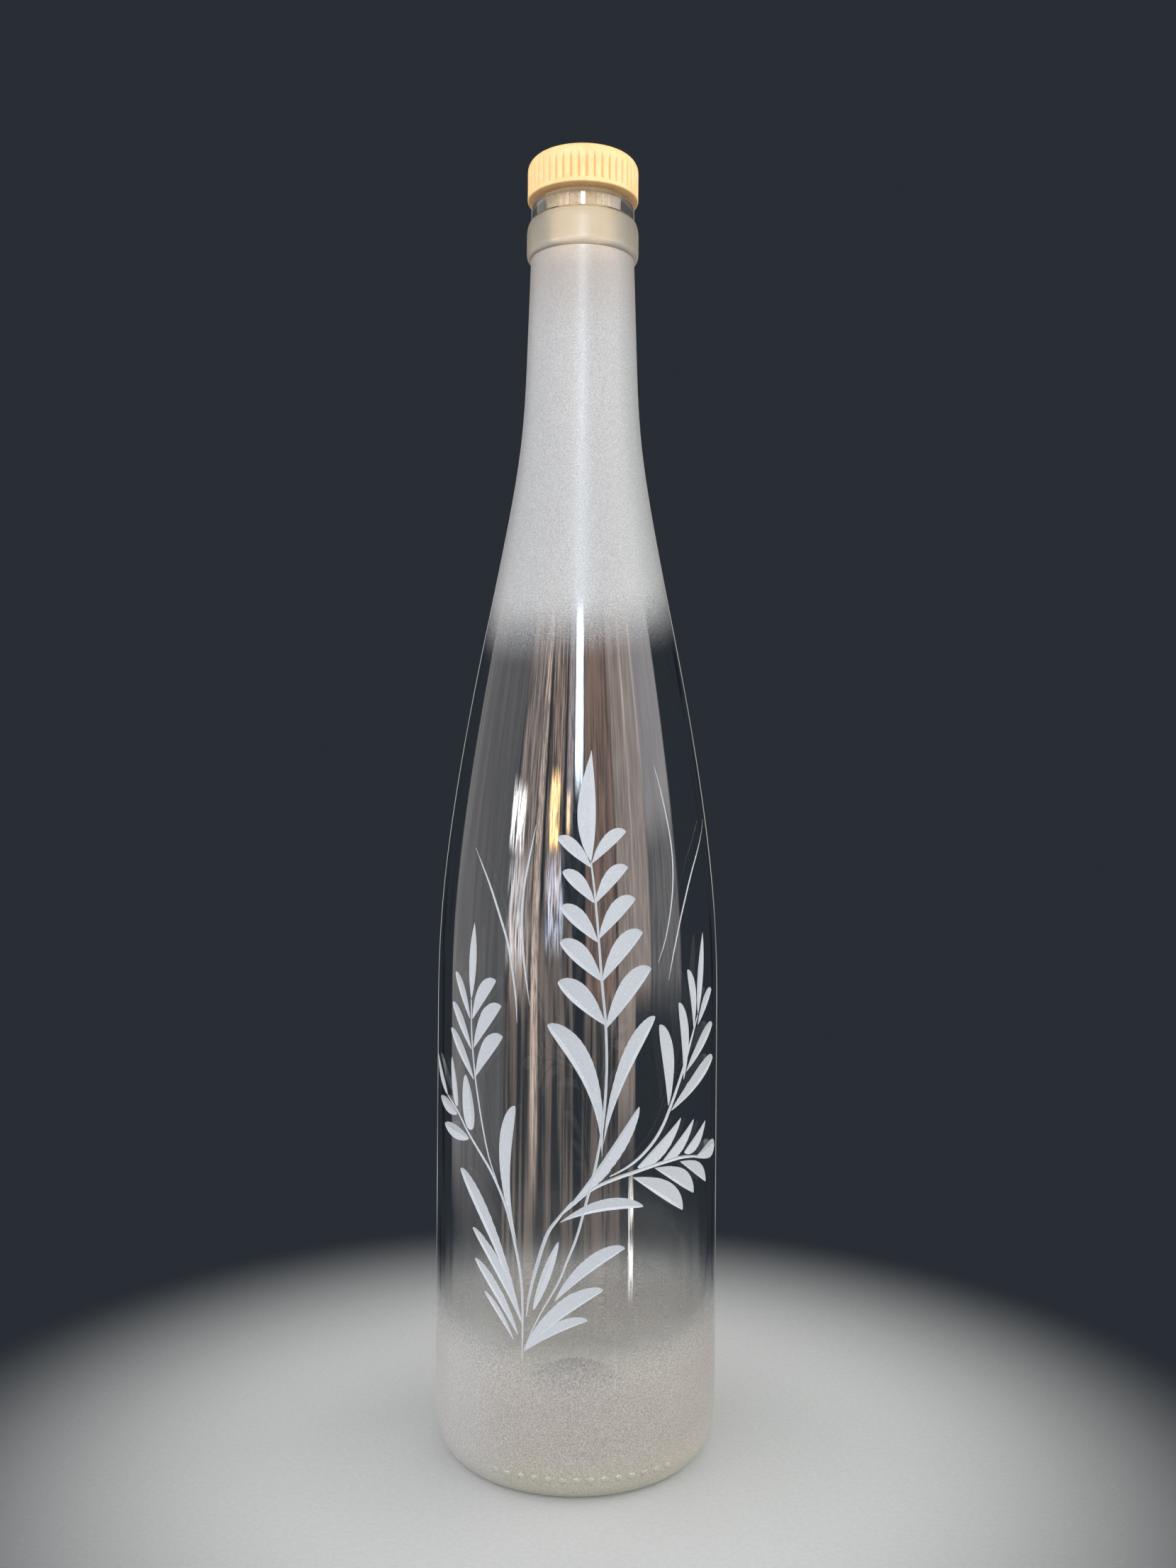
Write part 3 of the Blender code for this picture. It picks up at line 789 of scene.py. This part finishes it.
vertices, edges, widths = [], [], []
for top_width, middle_width, foot_width, points in STEMS:
    reach = [0]
    for before, after in zip(points, points[1:]):
        reach.append(reach[-1] + math.dist(before, after))
    for (across, height), travelled in zip(points, reach):
        if travelled:
            edges.append((len(vertices) - 1, len(vertices)))
        from_top = min(1, travelled / reach[-1] / STEM_TAPER_SHARE)
        from_foot = min(1, (1 - travelled / reach[-1]) / STEM_TAPER_SHARE)
        width = middle_width - (middle_width - top_width) * (1 - from_top) ** 2
        width -= (middle_width - foot_width) * (1 - from_foot) ** 2
        vertices.append((across * MM, height * MM, 0))
        widths.append(width * MM)
stem_lines = mesh_with("stem_lines", vertices, edges, [], {"width": widths})
# The V of a stem of width 1, with its open side proud of the glass
stem_edge, stem_proud = 0.5 * (1 + STEM_PROUD_SHARE), STEM_SLOPE * STEM_PROUD_SHARE
profile_mesh = mesh_with(
    "stem_profile", [(-stem_edge, -stem_proud, 0), (stem_edge, -stem_proud, 0), (0, STEM_SLOPE, 0)],
    [(0, 1), (1, 2), (2, 0)], [], {}
)
profile_object = linked("stem_profile", profile_mesh)
stem_cutters = grown("stem_cutters", stem_lines, stem_tree, {
    "Profile": profile_object, "Glass": blank, "Step": STEM_STEP, "Material": flat_cut_material,
})


def boolean(name, base, other, operation, solver):
    """The plain mesh of a Boolean of two meshes, with the materials of both."""
    pair = [linked(name, mesh) for mesh in (base, other)]
    cut = pair[0].modifiers.new("Cut", "BOOLEAN")
    cut.operation, cut.solver, cut.object = operation, solver, pair[1]
    cut.material_mode = "TRANSFER"
    cut.use_self = solver == "EXACT"
    depsgraph = bpy.context.evaluated_depsgraph_get()
    mesh = bpy.data.meshes.new_from_object(pair[0].evaluated_get(depsgraph), depsgraph=depsgraph)
    mesh.name = name
    for member in pair:
        bpy.data.objects.remove(member)
    return mesh


cutters = boolean("engraving", leaf_cutters, stem_cutters, "UNION", "EXACT")
glass_mesh = boolean("glass", glass_mesh, cutters, "DIFFERENCE", "MANIFOLD")


# Heel marks
# A row of low round dots that the mould left standing on the front of the heel.
DOT_COUNT = 14
DOT_RADIUS = 1.0 * MM
DOT_RISE = 0.42 * MM
DOT_FIRST = -20 * MM
DOT_PITCH = 3.45 * MM
DOT_HEIGHT = 6.4 * MM
DOT_SEGMENTS = 10
DOT_RINGS = 6

dot_tree, sizes = geometry_tree("heel_dots", {
    "Glass": "Object", "Count": "Int", "Radius": "Float", "Rise": "Float", "First": "Float",
    "Pitch": "Float", "Height": "Float",
})
dot = Wire.node(dot_tree, "GeometryNodeMeshUVSphere", inputs={
    "Segments": DOT_SEGMENTS, "Rings": DOT_RINGS, "Radius": sizes["Radius"]
})
start = joined(dot_tree, sizes["First"], sizes["Height"], 0)
row = Wire.node(dot_tree, "GeometryNodeMeshLine", inputs={
    "Count": sizes["Count"], "Start Location": start, "Offset": joined(dot_tree, sizes["Pitch"], 0, 0)
})
dots = Wire.node(dot_tree, "GeometryNodeInstanceOnPoints", inputs={"Points": row, "Instance": dot})
across, height, proud = split(own_position(dot_tree))
proud = proud * (sizes["Rise"] / sizes["Radius"])
dot_place = laid_on_glass(dot_tree, sizes["Glass"], across, height, proud)
close_tree(dot_tree, moved(dot_tree, realized(dot_tree, dots), dot_place), (sizes["Material"], True))
dot_mesh = grown("heel_dots", outline_mesh("heel_seed", [(0, 0)]), dot_tree, {
    "Glass": blank, "Count": DOT_COUNT, "Radius": DOT_RADIUS, "Rise": DOT_RISE, "First": DOT_FIRST,
    "Pitch": DOT_PITCH, "Height": DOT_HEIGHT, "Material": outer_material,
})
glass_mesh = boolean("glass", glass_mesh, dot_mesh, "UNION", "MANIFOLD")
for helper in (blank, pattern_object, profile_object):
    bpy.data.objects.remove(helper)


# Glass surface
# Blown glass is smooth, so the turned faces, which lie within a small gap of the outline, get its true
# normals, and the inside gets its clear glass. The engraving keeps its facets, and the heel dots are
# rounded by themselves.
FACET_ANGLE = math.radians(6)
DOT_GAP = 0.02 * MM
NOT_ZERO = 1e-9


def outline_normals(points):
    """The normals at both ends of each step of an outline, which stay sharp at its corners."""
    steps = np.diff(np.array(points), axis=0)
    steps /= np.linalg.norm(steps, axis=1)[:, None]
    flat = np.column_stack((-steps[:, 1], steps[:, 0]))
    starts, ends = flat.copy(), flat.copy()
    smooth = (flat[1:] * flat[:-1]).sum(axis=1) > math.cos(SHARP_ANGLE)
    mean = flat[1:] + flat[:-1]
    mean /= np.linalg.norm(mean, axis=1)[:, None]
    ends[:-1][smooth] = mean[smooth]
    starts[1:][smooth] = mean[smooth]
    starts[0] = (0, flat[0, 1] / abs(flat[0, 1]))
    ends[-1] = (0, flat[-1, 1] / abs(flat[-1, 1]))
    return starts, ends


def read(collection, name, width, kind=float):
    """A property of every item of a mesh's collection as an array."""
    values = np.empty(len(collection) * width, dtype=kind)
    collection.foreach_get(name, values)
    return values.reshape(-1, width) if width > 1 else values


def nearest_steps(centres, points):
    """For each centre of a face, the step of the outline nearest to it and the gap between them."""
    chain = np.array(points)
    flat = np.column_stack((np.hypot(centres[:, 0], centres[:, 1]), centres[:, 2]))
    best, nearest = np.zeros(len(flat), dtype=int), np.full(len(flat), np.inf)
    for index, (first, step) in enumerate(zip(chain, np.diff(chain, axis=0))):
        share = np.clip((flat - first) @ step / (step @ step), 0, 1)
        gap = np.linalg.norm(flat - first - share[:, None] * step, axis=1)
        closer = gap < nearest
        best[closer], nearest[closer] = index, gap[closer]
    return best, nearest


def turned_normals(corner, step_index, points):
    """The true normals of the turned surface at corners of faces from those steps of its outline."""
    chain = np.array(points)
    starts, ends = outline_normals(points)
    first, step = chain[step_index], np.diff(chain, axis=0)[step_index]
    radius = np.hypot(corner[:, 0], corner[:, 1])
    offset = np.column_stack((radius, corner[:, 2])) - first
    share = np.clip((offset * step).sum(axis=1) / (step * step).sum(axis=1), 0, 1)[:, None]
    flat = starts[step_index] * (1 - share) + ends[step_index] * share
    outward = corner[:, :2] / np.maximum(radius, NOT_ZERO)[:, None]
    return np.column_stack((outward * flat[:, :1], flat[:, 1]))


def facet_normals(face_normals, face, loop_vertex, slots, limit):
    """Normals smoothed across faces of one slot that turn by less than a limit, and sharp elsewhere."""
    key = loop_vertex * (slots.max() + 1) + slots[face]
    total = np.zeros((key.max() + 1, 3))
    np.add.at(total, key, face_normals[face])
    mean = total[key] / np.maximum(np.linalg.norm(total[key], axis=1), NOT_ZERO)[:, None]
    same_facet = (mean * face_normals[face]).sum(axis=1) > np.cos(limit)
    return np.where(same_facet[:, None], mean, face_normals[face])


slot_names = [material.name for material in glass_mesh.materials]
glass_mesh.materials.append(inner_material)
slots = read(glass_mesh.polygons, "material_index", 1, int)
face_normals = read(glass_mesh.polygons, "normal", 3)
face = np.repeat(np.arange(len(slots)), read(glass_mesh.polygons, "loop_total", 1, int))
loop_vertex = read(glass_mesh.loops, "vertex_index", 1, int)
corner = read(glass_mesh.vertices, "co", 3)[loop_vertex]
step_index, gap = nearest_steps(read(glass_mesh.polygons, "center", 3), outline)
is_outer = slots == slot_names.index(outer_material.name)
is_turned = is_outer & (gap < DOT_GAP)
slots[is_turned & (step_index < len(inside))] = len(slot_names)
glass_mesh.polygons.foreach_set("material_index", slots)
glass_mesh.shade_smooth()
true_normals = turned_normals(corner, step_index[face], outline)
limit = np.where(is_outer, SHARP_ANGLE, FACET_ANGLE)[face]
is_dot = is_outer & ~is_turned
own_normals = facet_normals(face_normals, face, loop_vertex, slots + is_dot * len(slot_names), limit)
normals = np.where(is_turned[face][:, None], true_normals, own_normals)
# A normal that leans too far from its face would shade it wrongly
is_bent = (normals * face_normals[face]).sum(axis=1) < math.cos(SHARP_ANGLE)
normals[is_bent] = face_normals[face][is_bent]
glass_mesh.normals_split_custom_set(normals)
glass_bottle = linked("bottle_glass", glass_mesh)
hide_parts("glass_bottle")
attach(glass_bottle, "bottle")


# Stopper shank
# The plain round plug of foamed cream plastic that fills the bore. Its free end is chamfered, and its
# other end is glued into the head.
HEAD_SEAT = 326.95 * MM
SHANK_RADIUS = 9.45 * MM
SHANK_LENGTH = 19.0 * MM
SHANK_SEAT_DEPTH = 2.5 * MM
SHANK_CHAMFER = 1.0 * MM
SHANK_STEPS = 96
FOAM_CELL = 0.6 * MM
FOAM_DEPTH = 0.05 * MM
FOAM_COLOURS = ((0.82, 0.58, 0.32, 1), (0.92, 0.72, 0.45, 1))

shank_material, tree, place = material_tree("foamed_cream_plastic")
cells = noise(tree, place, FOAM_CELL, detail=3)
foam = principled(tree, {
    "Base Color": mixed_colour(tree, smooth_step(cells, 0.35, 0.65), *FOAM_COLOURS), "Roughness": 0.6,
    "Normal": bump(tree, cells, FOAM_DEPTH),
})
close_material(tree, foam)
shank_foot = HEAD_SEAT - SHANK_LENGTH
shank_outline = [(0, HEAD_SEAT + SHANK_SEAT_DEPTH)]
shank_outline += run(shank_outline[0], (SHANK_RADIUS, HEAD_SEAT + SHANK_SEAT_DEPTH), 3)
shank_outline += run(shank_outline[-1], (SHANK_RADIUS, shank_foot + SHANK_CHAMFER), 10)
chamfer_centre = (SHANK_RADIUS - SHANK_CHAMFER, shank_foot + SHANK_CHAMFER)
shank_outline += arc(chamfer_centre, SHANK_CHAMFER, SHANK_CHAMFER, 0, -90, 6)
shank_outline += run(shank_outline[-1], (0, shank_foot), 3)
shank_mesh = grown("shank", outline_mesh("shank_outline", shank_outline), turned_tree, {
    "Points": len(shank_outline), "Steps": SHANK_STEPS, "Material": shank_material
})
shank_mesh.shade_smooth()
shank_mesh.set_sharp_from_angle(angle=SHARP_ANGLE)
shank = linked("shank_plug", shank_mesh)
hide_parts("stopper_shank")
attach(shank, "stopper")


# Stopper head
# The moulded cream plastic cap that is gripped: round-topped, with ribs between narrow grooves round its
# side and a plain band at its foot. A recess under it holds the glued end of the shank.
HEAD_RADIUS = 14.6 * MM
HEAD_HEIGHT = 10.7 * MM
HEAD_TOP_ROUND = 3.0 * MM
HEAD_FOOT_ROUND = 0.4 * MM
GLUE_GAP = 0.3 * MM
RIB_COUNT = 44
STEPS_PER_RIB = 12
GROOVE_SHARE = 0.5
GROOVE_DEPTH = 0.36 * MM
RIB_CROWN = 0.14 * MM
GROOVE_FOOT = 1.3 * MM
GROOVE_FADE = 6.2 * MM
GROOVE_TOP = 8.6 * MM
GROOVE_FOOT_RISE = 0.1 * MM
GROOVE_FOOT_DROP = 0.25 * MM
MOTTLE_SIZE = 3 * MM
SKIN_SIZE = 0.35 * MM
SKIN_DEPTH = 0.02 * MM
HEAD_COLOURS = ((0.81, 0.505, 0.225, 1), (0.87, 0.57, 0.275, 1))
# Painted shade: the grooves are painted a darker, deeper cream
GROOVE_PAINTED_SHADE = (0.78, 0.44, 0.17, 1)

head_tree, sizes = geometry_tree("ribbed_head", {
    "Points": "Int", "Ribs": "Int", "Steps Per Rib": "Int", "Groove Share": "Float",
    "Groove Depth": "Float", "Crown": "Float", "Foot": "Float", "Fade": "Float", "Top": "Float",
})


def ribbed(radius, height, turn):
    """Sinks the grooves into the radius and rounds the ribs between them."""
    across_rib = ((turn * sizes["Ribs"]).math("FRACT") - 0.5).math("ABSOLUTE") * 2
    groove = (1 - across_rib / sizes["Groove Share"]).math("MAXIMUM", 0.0)
    rounding = (1 - across_rib) ** 2
    rise = smooth_step(height, sizes["Foot"] - GROOVE_FOOT_DROP, sizes["Foot"] + GROOVE_FOOT_RISE)
    fade = 1 - smooth_step(height, sizes["Fade"], sizes["Top"])
    return radius - rise * fade * (groove * sizes["Groove Depth"] + rounding * sizes["Crown"])


head_steps = sizes["Ribs"] * sizes["Steps Per Rib"]
ribs = turning(head_tree, sizes["Geometry"], sizes["Points"], head_steps, ribbed)
close_tree(head_tree, ribs, (sizes["Material"], True))

head_material, tree, place = material_tree("moulded_cream_plastic")
x, y, z = split(place)
off_axis = vector_math(tree, "LENGTH", joined(tree, x, y, 0), output="Value")
mottle = noise(tree, place, MOTTLE_SIZE, detail=3)
skin = noise(tree, place, SKIN_SIZE, detail=2)
above_band = smooth_step(z, HEAD_SEAT + 0.9 * MM, HEAD_SEAT + 1.5 * MM)
below_top = smooth_step(HEAD_SEAT + GROOVE_TOP - z, 0.0, 1.2 * MM)
# Painted shade: the colour darkens in the grooves
painted_groove_shade = smooth_step(HEAD_RADIUS - off_axis, 0.12 * MM, 0.42 * MM) * below_top * above_band
colour = mixed_colour(tree, smooth_step(mottle, 0.3, 0.7), *HEAD_COLOURS)
colour = mixed_colour(tree, painted_groove_shade, colour, GROOVE_PAINTED_SHADE)
plastic = principled(tree, {
    "Base Color": colour, "Roughness": mottle * 0.12 + 0.38, "Normal": bump(tree, skin, SKIN_DEPTH),
    "Subsurface Weight": 0.15, "Subsurface Radius": (4 * MM, 2 * MM, 1 * MM), "Subsurface Scale": 0.5,
})
close_material(tree, plastic)
head_outline = [(0, HEAD_HEIGHT)]
head_outline += run(head_outline[0], (HEAD_RADIUS - HEAD_TOP_ROUND, HEAD_HEIGHT), 5)
top_centre = (HEAD_RADIUS - HEAD_TOP_ROUND, HEAD_HEIGHT - HEAD_TOP_ROUND)
head_outline += arc(top_centre, HEAD_TOP_ROUND, HEAD_TOP_ROUND, 90, 0, 12)
head_outline += run(head_outline[-1], (HEAD_RADIUS, GROOVE_FOOT + GROOVE_FOOT_RISE), 10)
head_outline += run(head_outline[-1], (HEAD_RADIUS, GROOVE_FOOT - GROOVE_FOOT_DROP), 3)
head_outline += run(head_outline[-1], (HEAD_RADIUS, HEAD_FOOT_ROUND), 2)
foot_centre = (HEAD_RADIUS - HEAD_FOOT_ROUND, HEAD_FOOT_ROUND)
head_outline += arc(foot_centre, HEAD_FOOT_ROUND, HEAD_FOOT_ROUND, 0, -90, 4)
recess_radius, recess_depth = SHANK_RADIUS + GLUE_GAP, SHANK_SEAT_DEPTH + GLUE_GAP
head_outline += run(head_outline[-1], (recess_radius, 0), 3)
head_outline += run(head_outline[-1], (recess_radius, recess_depth), 2)
head_outline += run(head_outline[-1], (0, recess_depth), 2)
raised_outline = [(radius, HEAD_SEAT + height) for radius, height in head_outline]
head_mesh = grown("head", outline_mesh("head_outline", raised_outline), head_tree, {
    "Points": len(raised_outline), "Ribs": RIB_COUNT, "Steps Per Rib": STEPS_PER_RIB,
    "Groove Share": GROOVE_SHARE, "Groove Depth": GROOVE_DEPTH, "Crown": RIB_CROWN,
    "Foot": HEAD_SEAT + GROOVE_FOOT, "Fade": HEAD_SEAT + GROOVE_FADE, "Top": HEAD_SEAT + GROOVE_TOP,
    "Material": head_material,
})
head_mesh.shade_smooth()
head_mesh.set_sharp_from_angle(angle=SHARP_ANGLE)
head = linked("ribbed_stopper_head", head_mesh)
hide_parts("stopper_head")
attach(head, "stopper")


# Setting
# A round pale table top that fades into a dark slate background, upright panels of light all round, and a
# level camera at about the middle of the bottle.
BACKGROUND = (0.022, 0.027, 0.034, 1)
FILL_LIGHT = (0.92, 0.96, 1.0, 1)
FILL_STRENGTH = 0.27
TABLE_RADIUS = 0.2
TABLE_FADE_START = 0.07
TABLE_FADE_END = 0.19
TABLE_STEPS = 96
TABLE_GRAIN = 1.2 * MM
TABLE_GRAIN_DEPTH = 0.1 * MM
TABLE_COLOURS = ((0.40, 0.40, 0.395, 1), (0.48, 0.48, 0.475, 1))
CAMERA_PLACE = (0.00234, -0.3806, 0.1735)
CAMERA_LENS = 33.04
CAMERA_SENSOR = 36
CAMERA_CLIP = (0.01, 20)
CAMERA_ROLL = 0.0066

table_material, tree, place = material_tree("pale_table")
x, y, z = split(place)
off_axis = vector_math(tree, "LENGTH", joined(tree, x, y, 0), output="Value")
grain = noise(tree, place, TABLE_GRAIN, detail=4)
table_top = principled(tree, {
    "Base Color": mixed_colour(tree, grain, *TABLE_COLOURS), "Roughness": 0.8, "Specular IOR Level": 0.1,
    "Normal": bump(tree, grain, TABLE_GRAIN_DEPTH),
})
beyond = Wire.node(tree, "ShaderNodeBsdfTransparent")
fade = smooth_step(off_axis, TABLE_FADE_START, TABLE_FADE_END)
close_material(tree, mixed_shader(tree, fade, table_top, beyond))
bm = bmesh.new()
bmesh.ops.create_circle(bm, cap_ends=True, segments=TABLE_STEPS, radius=TABLE_RADIUS)
table_mesh = bpy.data.meshes.new("table")
bm.to_mesh(table_mesh)
bm.free()
table_mesh.materials.append(table_material)
table = linked("table", table_mesh)

world = bpy.data.worlds.new("studio")
scene.world = world
world.use_nodes = True
tree = world.node_tree
tree.nodes.clear()
seen = Wire.node(tree, "ShaderNodeLightPath", output="Is Camera Ray")
seen = seen + seen.output("Is Glossy Ray") + seen.output("Is Transmission Ray")
wall = Wire.node(tree, "ShaderNodeBackground", inputs={"Color": BACKGROUND, "Strength": 1.0})
fill = Wire.node(tree, "ShaderNodeBackground", inputs={"Color": FILL_LIGHT, "Strength": FILL_STRENGTH})
backdrop = mixed_shader(tree, seen.math("MINIMUM", 1.0), fill, wall)
tree.links.new(backdrop.socket, tree.nodes.new("ShaderNodeOutputWorld").inputs["Surface"])

# Each panel: its name, the two bearings in degrees that it spans, seen from the bottle and counted to the
# right of the camera, its two elevations, its brightness, its colour and how strongly it is streaked. Only
# the panels are mirrored. The soft boxes and the bright strip light what is not shiny.
LAMP_DISTANCE = 1.0
LAMP_POWER = 4
AIM_HEIGHT = 0.17
SOFT_SIDE_DEGREES = 2.5
SOFT_END_DEGREES = 7
WIDEST_FADE = 0.3
STREAK_WIDTH = 0.06
FEWEST_STREAKS = 14
STREAK_SHARE_OF_HEIGHT = 0.25
STREAK_SHIFT = 1.7
PANELS = (
    ("left_rim_panel", (-177, -161), (-26, 38), 0.35, (0.93, 1.0, 0.88), 0.6),
    ("grey_panel", (-123, -58), (-24, 38), 0.45, (1.0, 0.94, 0.92), 0.15),
    ("warm_panel", (-57, -37), (-12, 38), 1.15, (1.0, 0.80, 0.71), 0.6),
    ("beige_strip", (-38, -30), (-22, 38), 2.3, (1.0, 0.78, 0.65), 0.7),
    ("beige_panel", (-29, -13), (-1, 38), 1.3, (1.0, 0.72, 0.58), 0.8),
    ("dim_panel", (-60, -3), (-28, 5), 0.5, (1.0, 0.78, 0.64), 0.9),
    ("pale_strip", (-12, -4), (10, 38), 1.7, (1.0, 0.84, 0.84), 0.5),
    ("bright_strip", (-4.2, 4.8), (15, 40), 19.5, (0.78, 0.90, 1.0), 0.5),
    ("brown_panel", (5, 32), (-13, 38), 0.85, (1.0, 0.64, 0.48), 0.45),
    ("dim_brown_panel", (4, 34), (-28, -5), 0.4, (1.0, 0.76, 0.62), 0.9),
    ("pale_panel", (31, 48), (-20, 38), 1.45, (1.0, 0.81, 0.70), 0.25),
    ("pale_right_panel", (45, 62), (-12, 38), 1.5, (1.0, 0.83, 0.74), 0.2),
    ("far_right_panel", (60, 92), (7, 38), 1.3, (1.0, 0.94, 0.94), 0.1),
    ("dim_right_panel", (60, 92), (-13, 15), 0.55, (1.0, 0.95, 0.92), 0.25),
    ("right_rim_panel", (160, 177), (-26, 38), 0.3, (1.0, 0.98, 0.84), 0.6),
    ("gold_lamp", (-26, -16), (9, 19), 8.0, (1.0, 0.66, 0.26), 1.0),
    ("small_gold_lamp", (-11, -7), (11, 17), 6.0, (1.0, 0.70, 0.35), 0.5),
    ("white_lamp", (-62, -47), (7.5, 16), 6.5, (1.0, 0.97, 0.98), 1.0),
    ("blue_lamp", (-27, -11), (-5, 11), 2.8, (0.70, 0.78, 1.0), 1.0),
    ("lower_white_lamp", (-60, -44), (-8, 10), 2.0, (0.95, 0.95, 1.0), 1.0),
    ("low_lamp", (41, 46), (-26, -19), 5.0, (1.0, 0.96, 0.92), 1.0),
)
SOFT_BOXES = (
    ("left_side_box", (-120, -80), (-17, 47), 1.7, (1.0, 0.97, 0.95), 0.0),
    ("left_soft_box", (-80, -25), (-17, 47), 1.4, (1.0, 0.97, 0.95), 0.0),
    ("front_soft_box", (-25, 25), (-12, 47), 1.4, (0.90, 0.95, 1.0), 0.0),
    ("right_soft_box", (25, 75), (-17, 47), 1.35, (1.0, 0.97, 0.94), 0.0),
    ("right_side_box", (75, 120), (-17, 47), 2.4, (1.0, 0.98, 0.90), 0.0),
    ("top_soft_box", (-40, 40), (48, 82), 0.7, (0.93, 0.97, 1.0), 0.0),
    ("back_soft_box", (150, 185), (8, 52), 0.8, (1.0, 1.0, 1.0), 0.0),
)
for row, (name, bearings, elevations, brightness, colour, contrast) in enumerate(PANELS + SOFT_BOXES):
    side, up = (math.radians(sum(pair) / 2) for pair in (bearings, elevations))
    wide, tall = (pair[1] - pair[0] for pair in (bearings, elevations))
    light = bpy.data.lights.new(name, "AREA")
    light.shape = "RECTANGLE"
    half_spans = (math.radians(wide / 2), math.radians(tall / 2))
    light.size, light.size_y = (2 * LAMP_DISTANCE * math.tan(half) for half in half_spans)
    light.energy = LAMP_POWER * brightness * light.size * light.size_y
    light.color = colour
    light.use_nodes = True
    tree = light.node_tree
    tree.nodes.clear()
    across, along, _ = split(Wire.node(tree, "ShaderNodeNewGeometry", output="Parametric"))
    strength = 1
    for share, span, fade_degrees in ((across, wide, SOFT_SIDE_DEGREES), (along, tall, SOFT_END_DEGREES)):
        soft = min(fade_degrees / span, WIDEST_FADE)
        strength = smooth_step(share, 0.0, soft) * smooth_step(1 - share, 0.0, soft) * strength
    streak_width = min(STREAK_WIDTH, light.size / FEWEST_STREAKS)
    streak_height = along * light.size_y * STREAK_SHARE_OF_HEIGHT
    sheet = joined(tree, across * light.size, streak_height, row * STREAK_SHIFT)
    streaks = smooth_step(noise(tree, sheet, streak_width, detail=3), 0.35, 0.65)
    strength = strength * (1 + (streaks - 0.5) * 2 * contrast)
    glow = Wire.node(tree, "ShaderNodeEmission", inputs={"Strength": strength})
    tree.links.new(glow.socket, tree.nodes.new("ShaderNodeOutputLight").inputs["Surface"])
    lamp = linked(name, light)
    reach = LAMP_DISTANCE * math.cos(up)
    lamp_height = AIM_HEIGHT + LAMP_DISTANCE * math.sin(up)
    lamp.location = (reach * math.sin(side), -reach * math.cos(side), lamp_height)
    lamp.rotation_euler = (math.pi / 2 - up, 0, side)
    lamp.visible_camera = False
    lamp.visible_transmission = False
    lamp.visible_glossy = row < len(PANELS)
    lamp.visible_diffuse = row >= len(PANELS) or name == "bright_strip"

camera = linked("camera", bpy.data.cameras.new("camera"))
camera.data.lens = CAMERA_LENS
camera.data.sensor_width = CAMERA_SENSOR
camera.data.clip_start, camera.data.clip_end = CAMERA_CLIP
camera.location = CAMERA_PLACE
camera.rotation_euler = (math.pi / 2, -CAMERA_ROLL, 0)
scene.camera = camera
scene.view_settings.view_transform = "Standard"
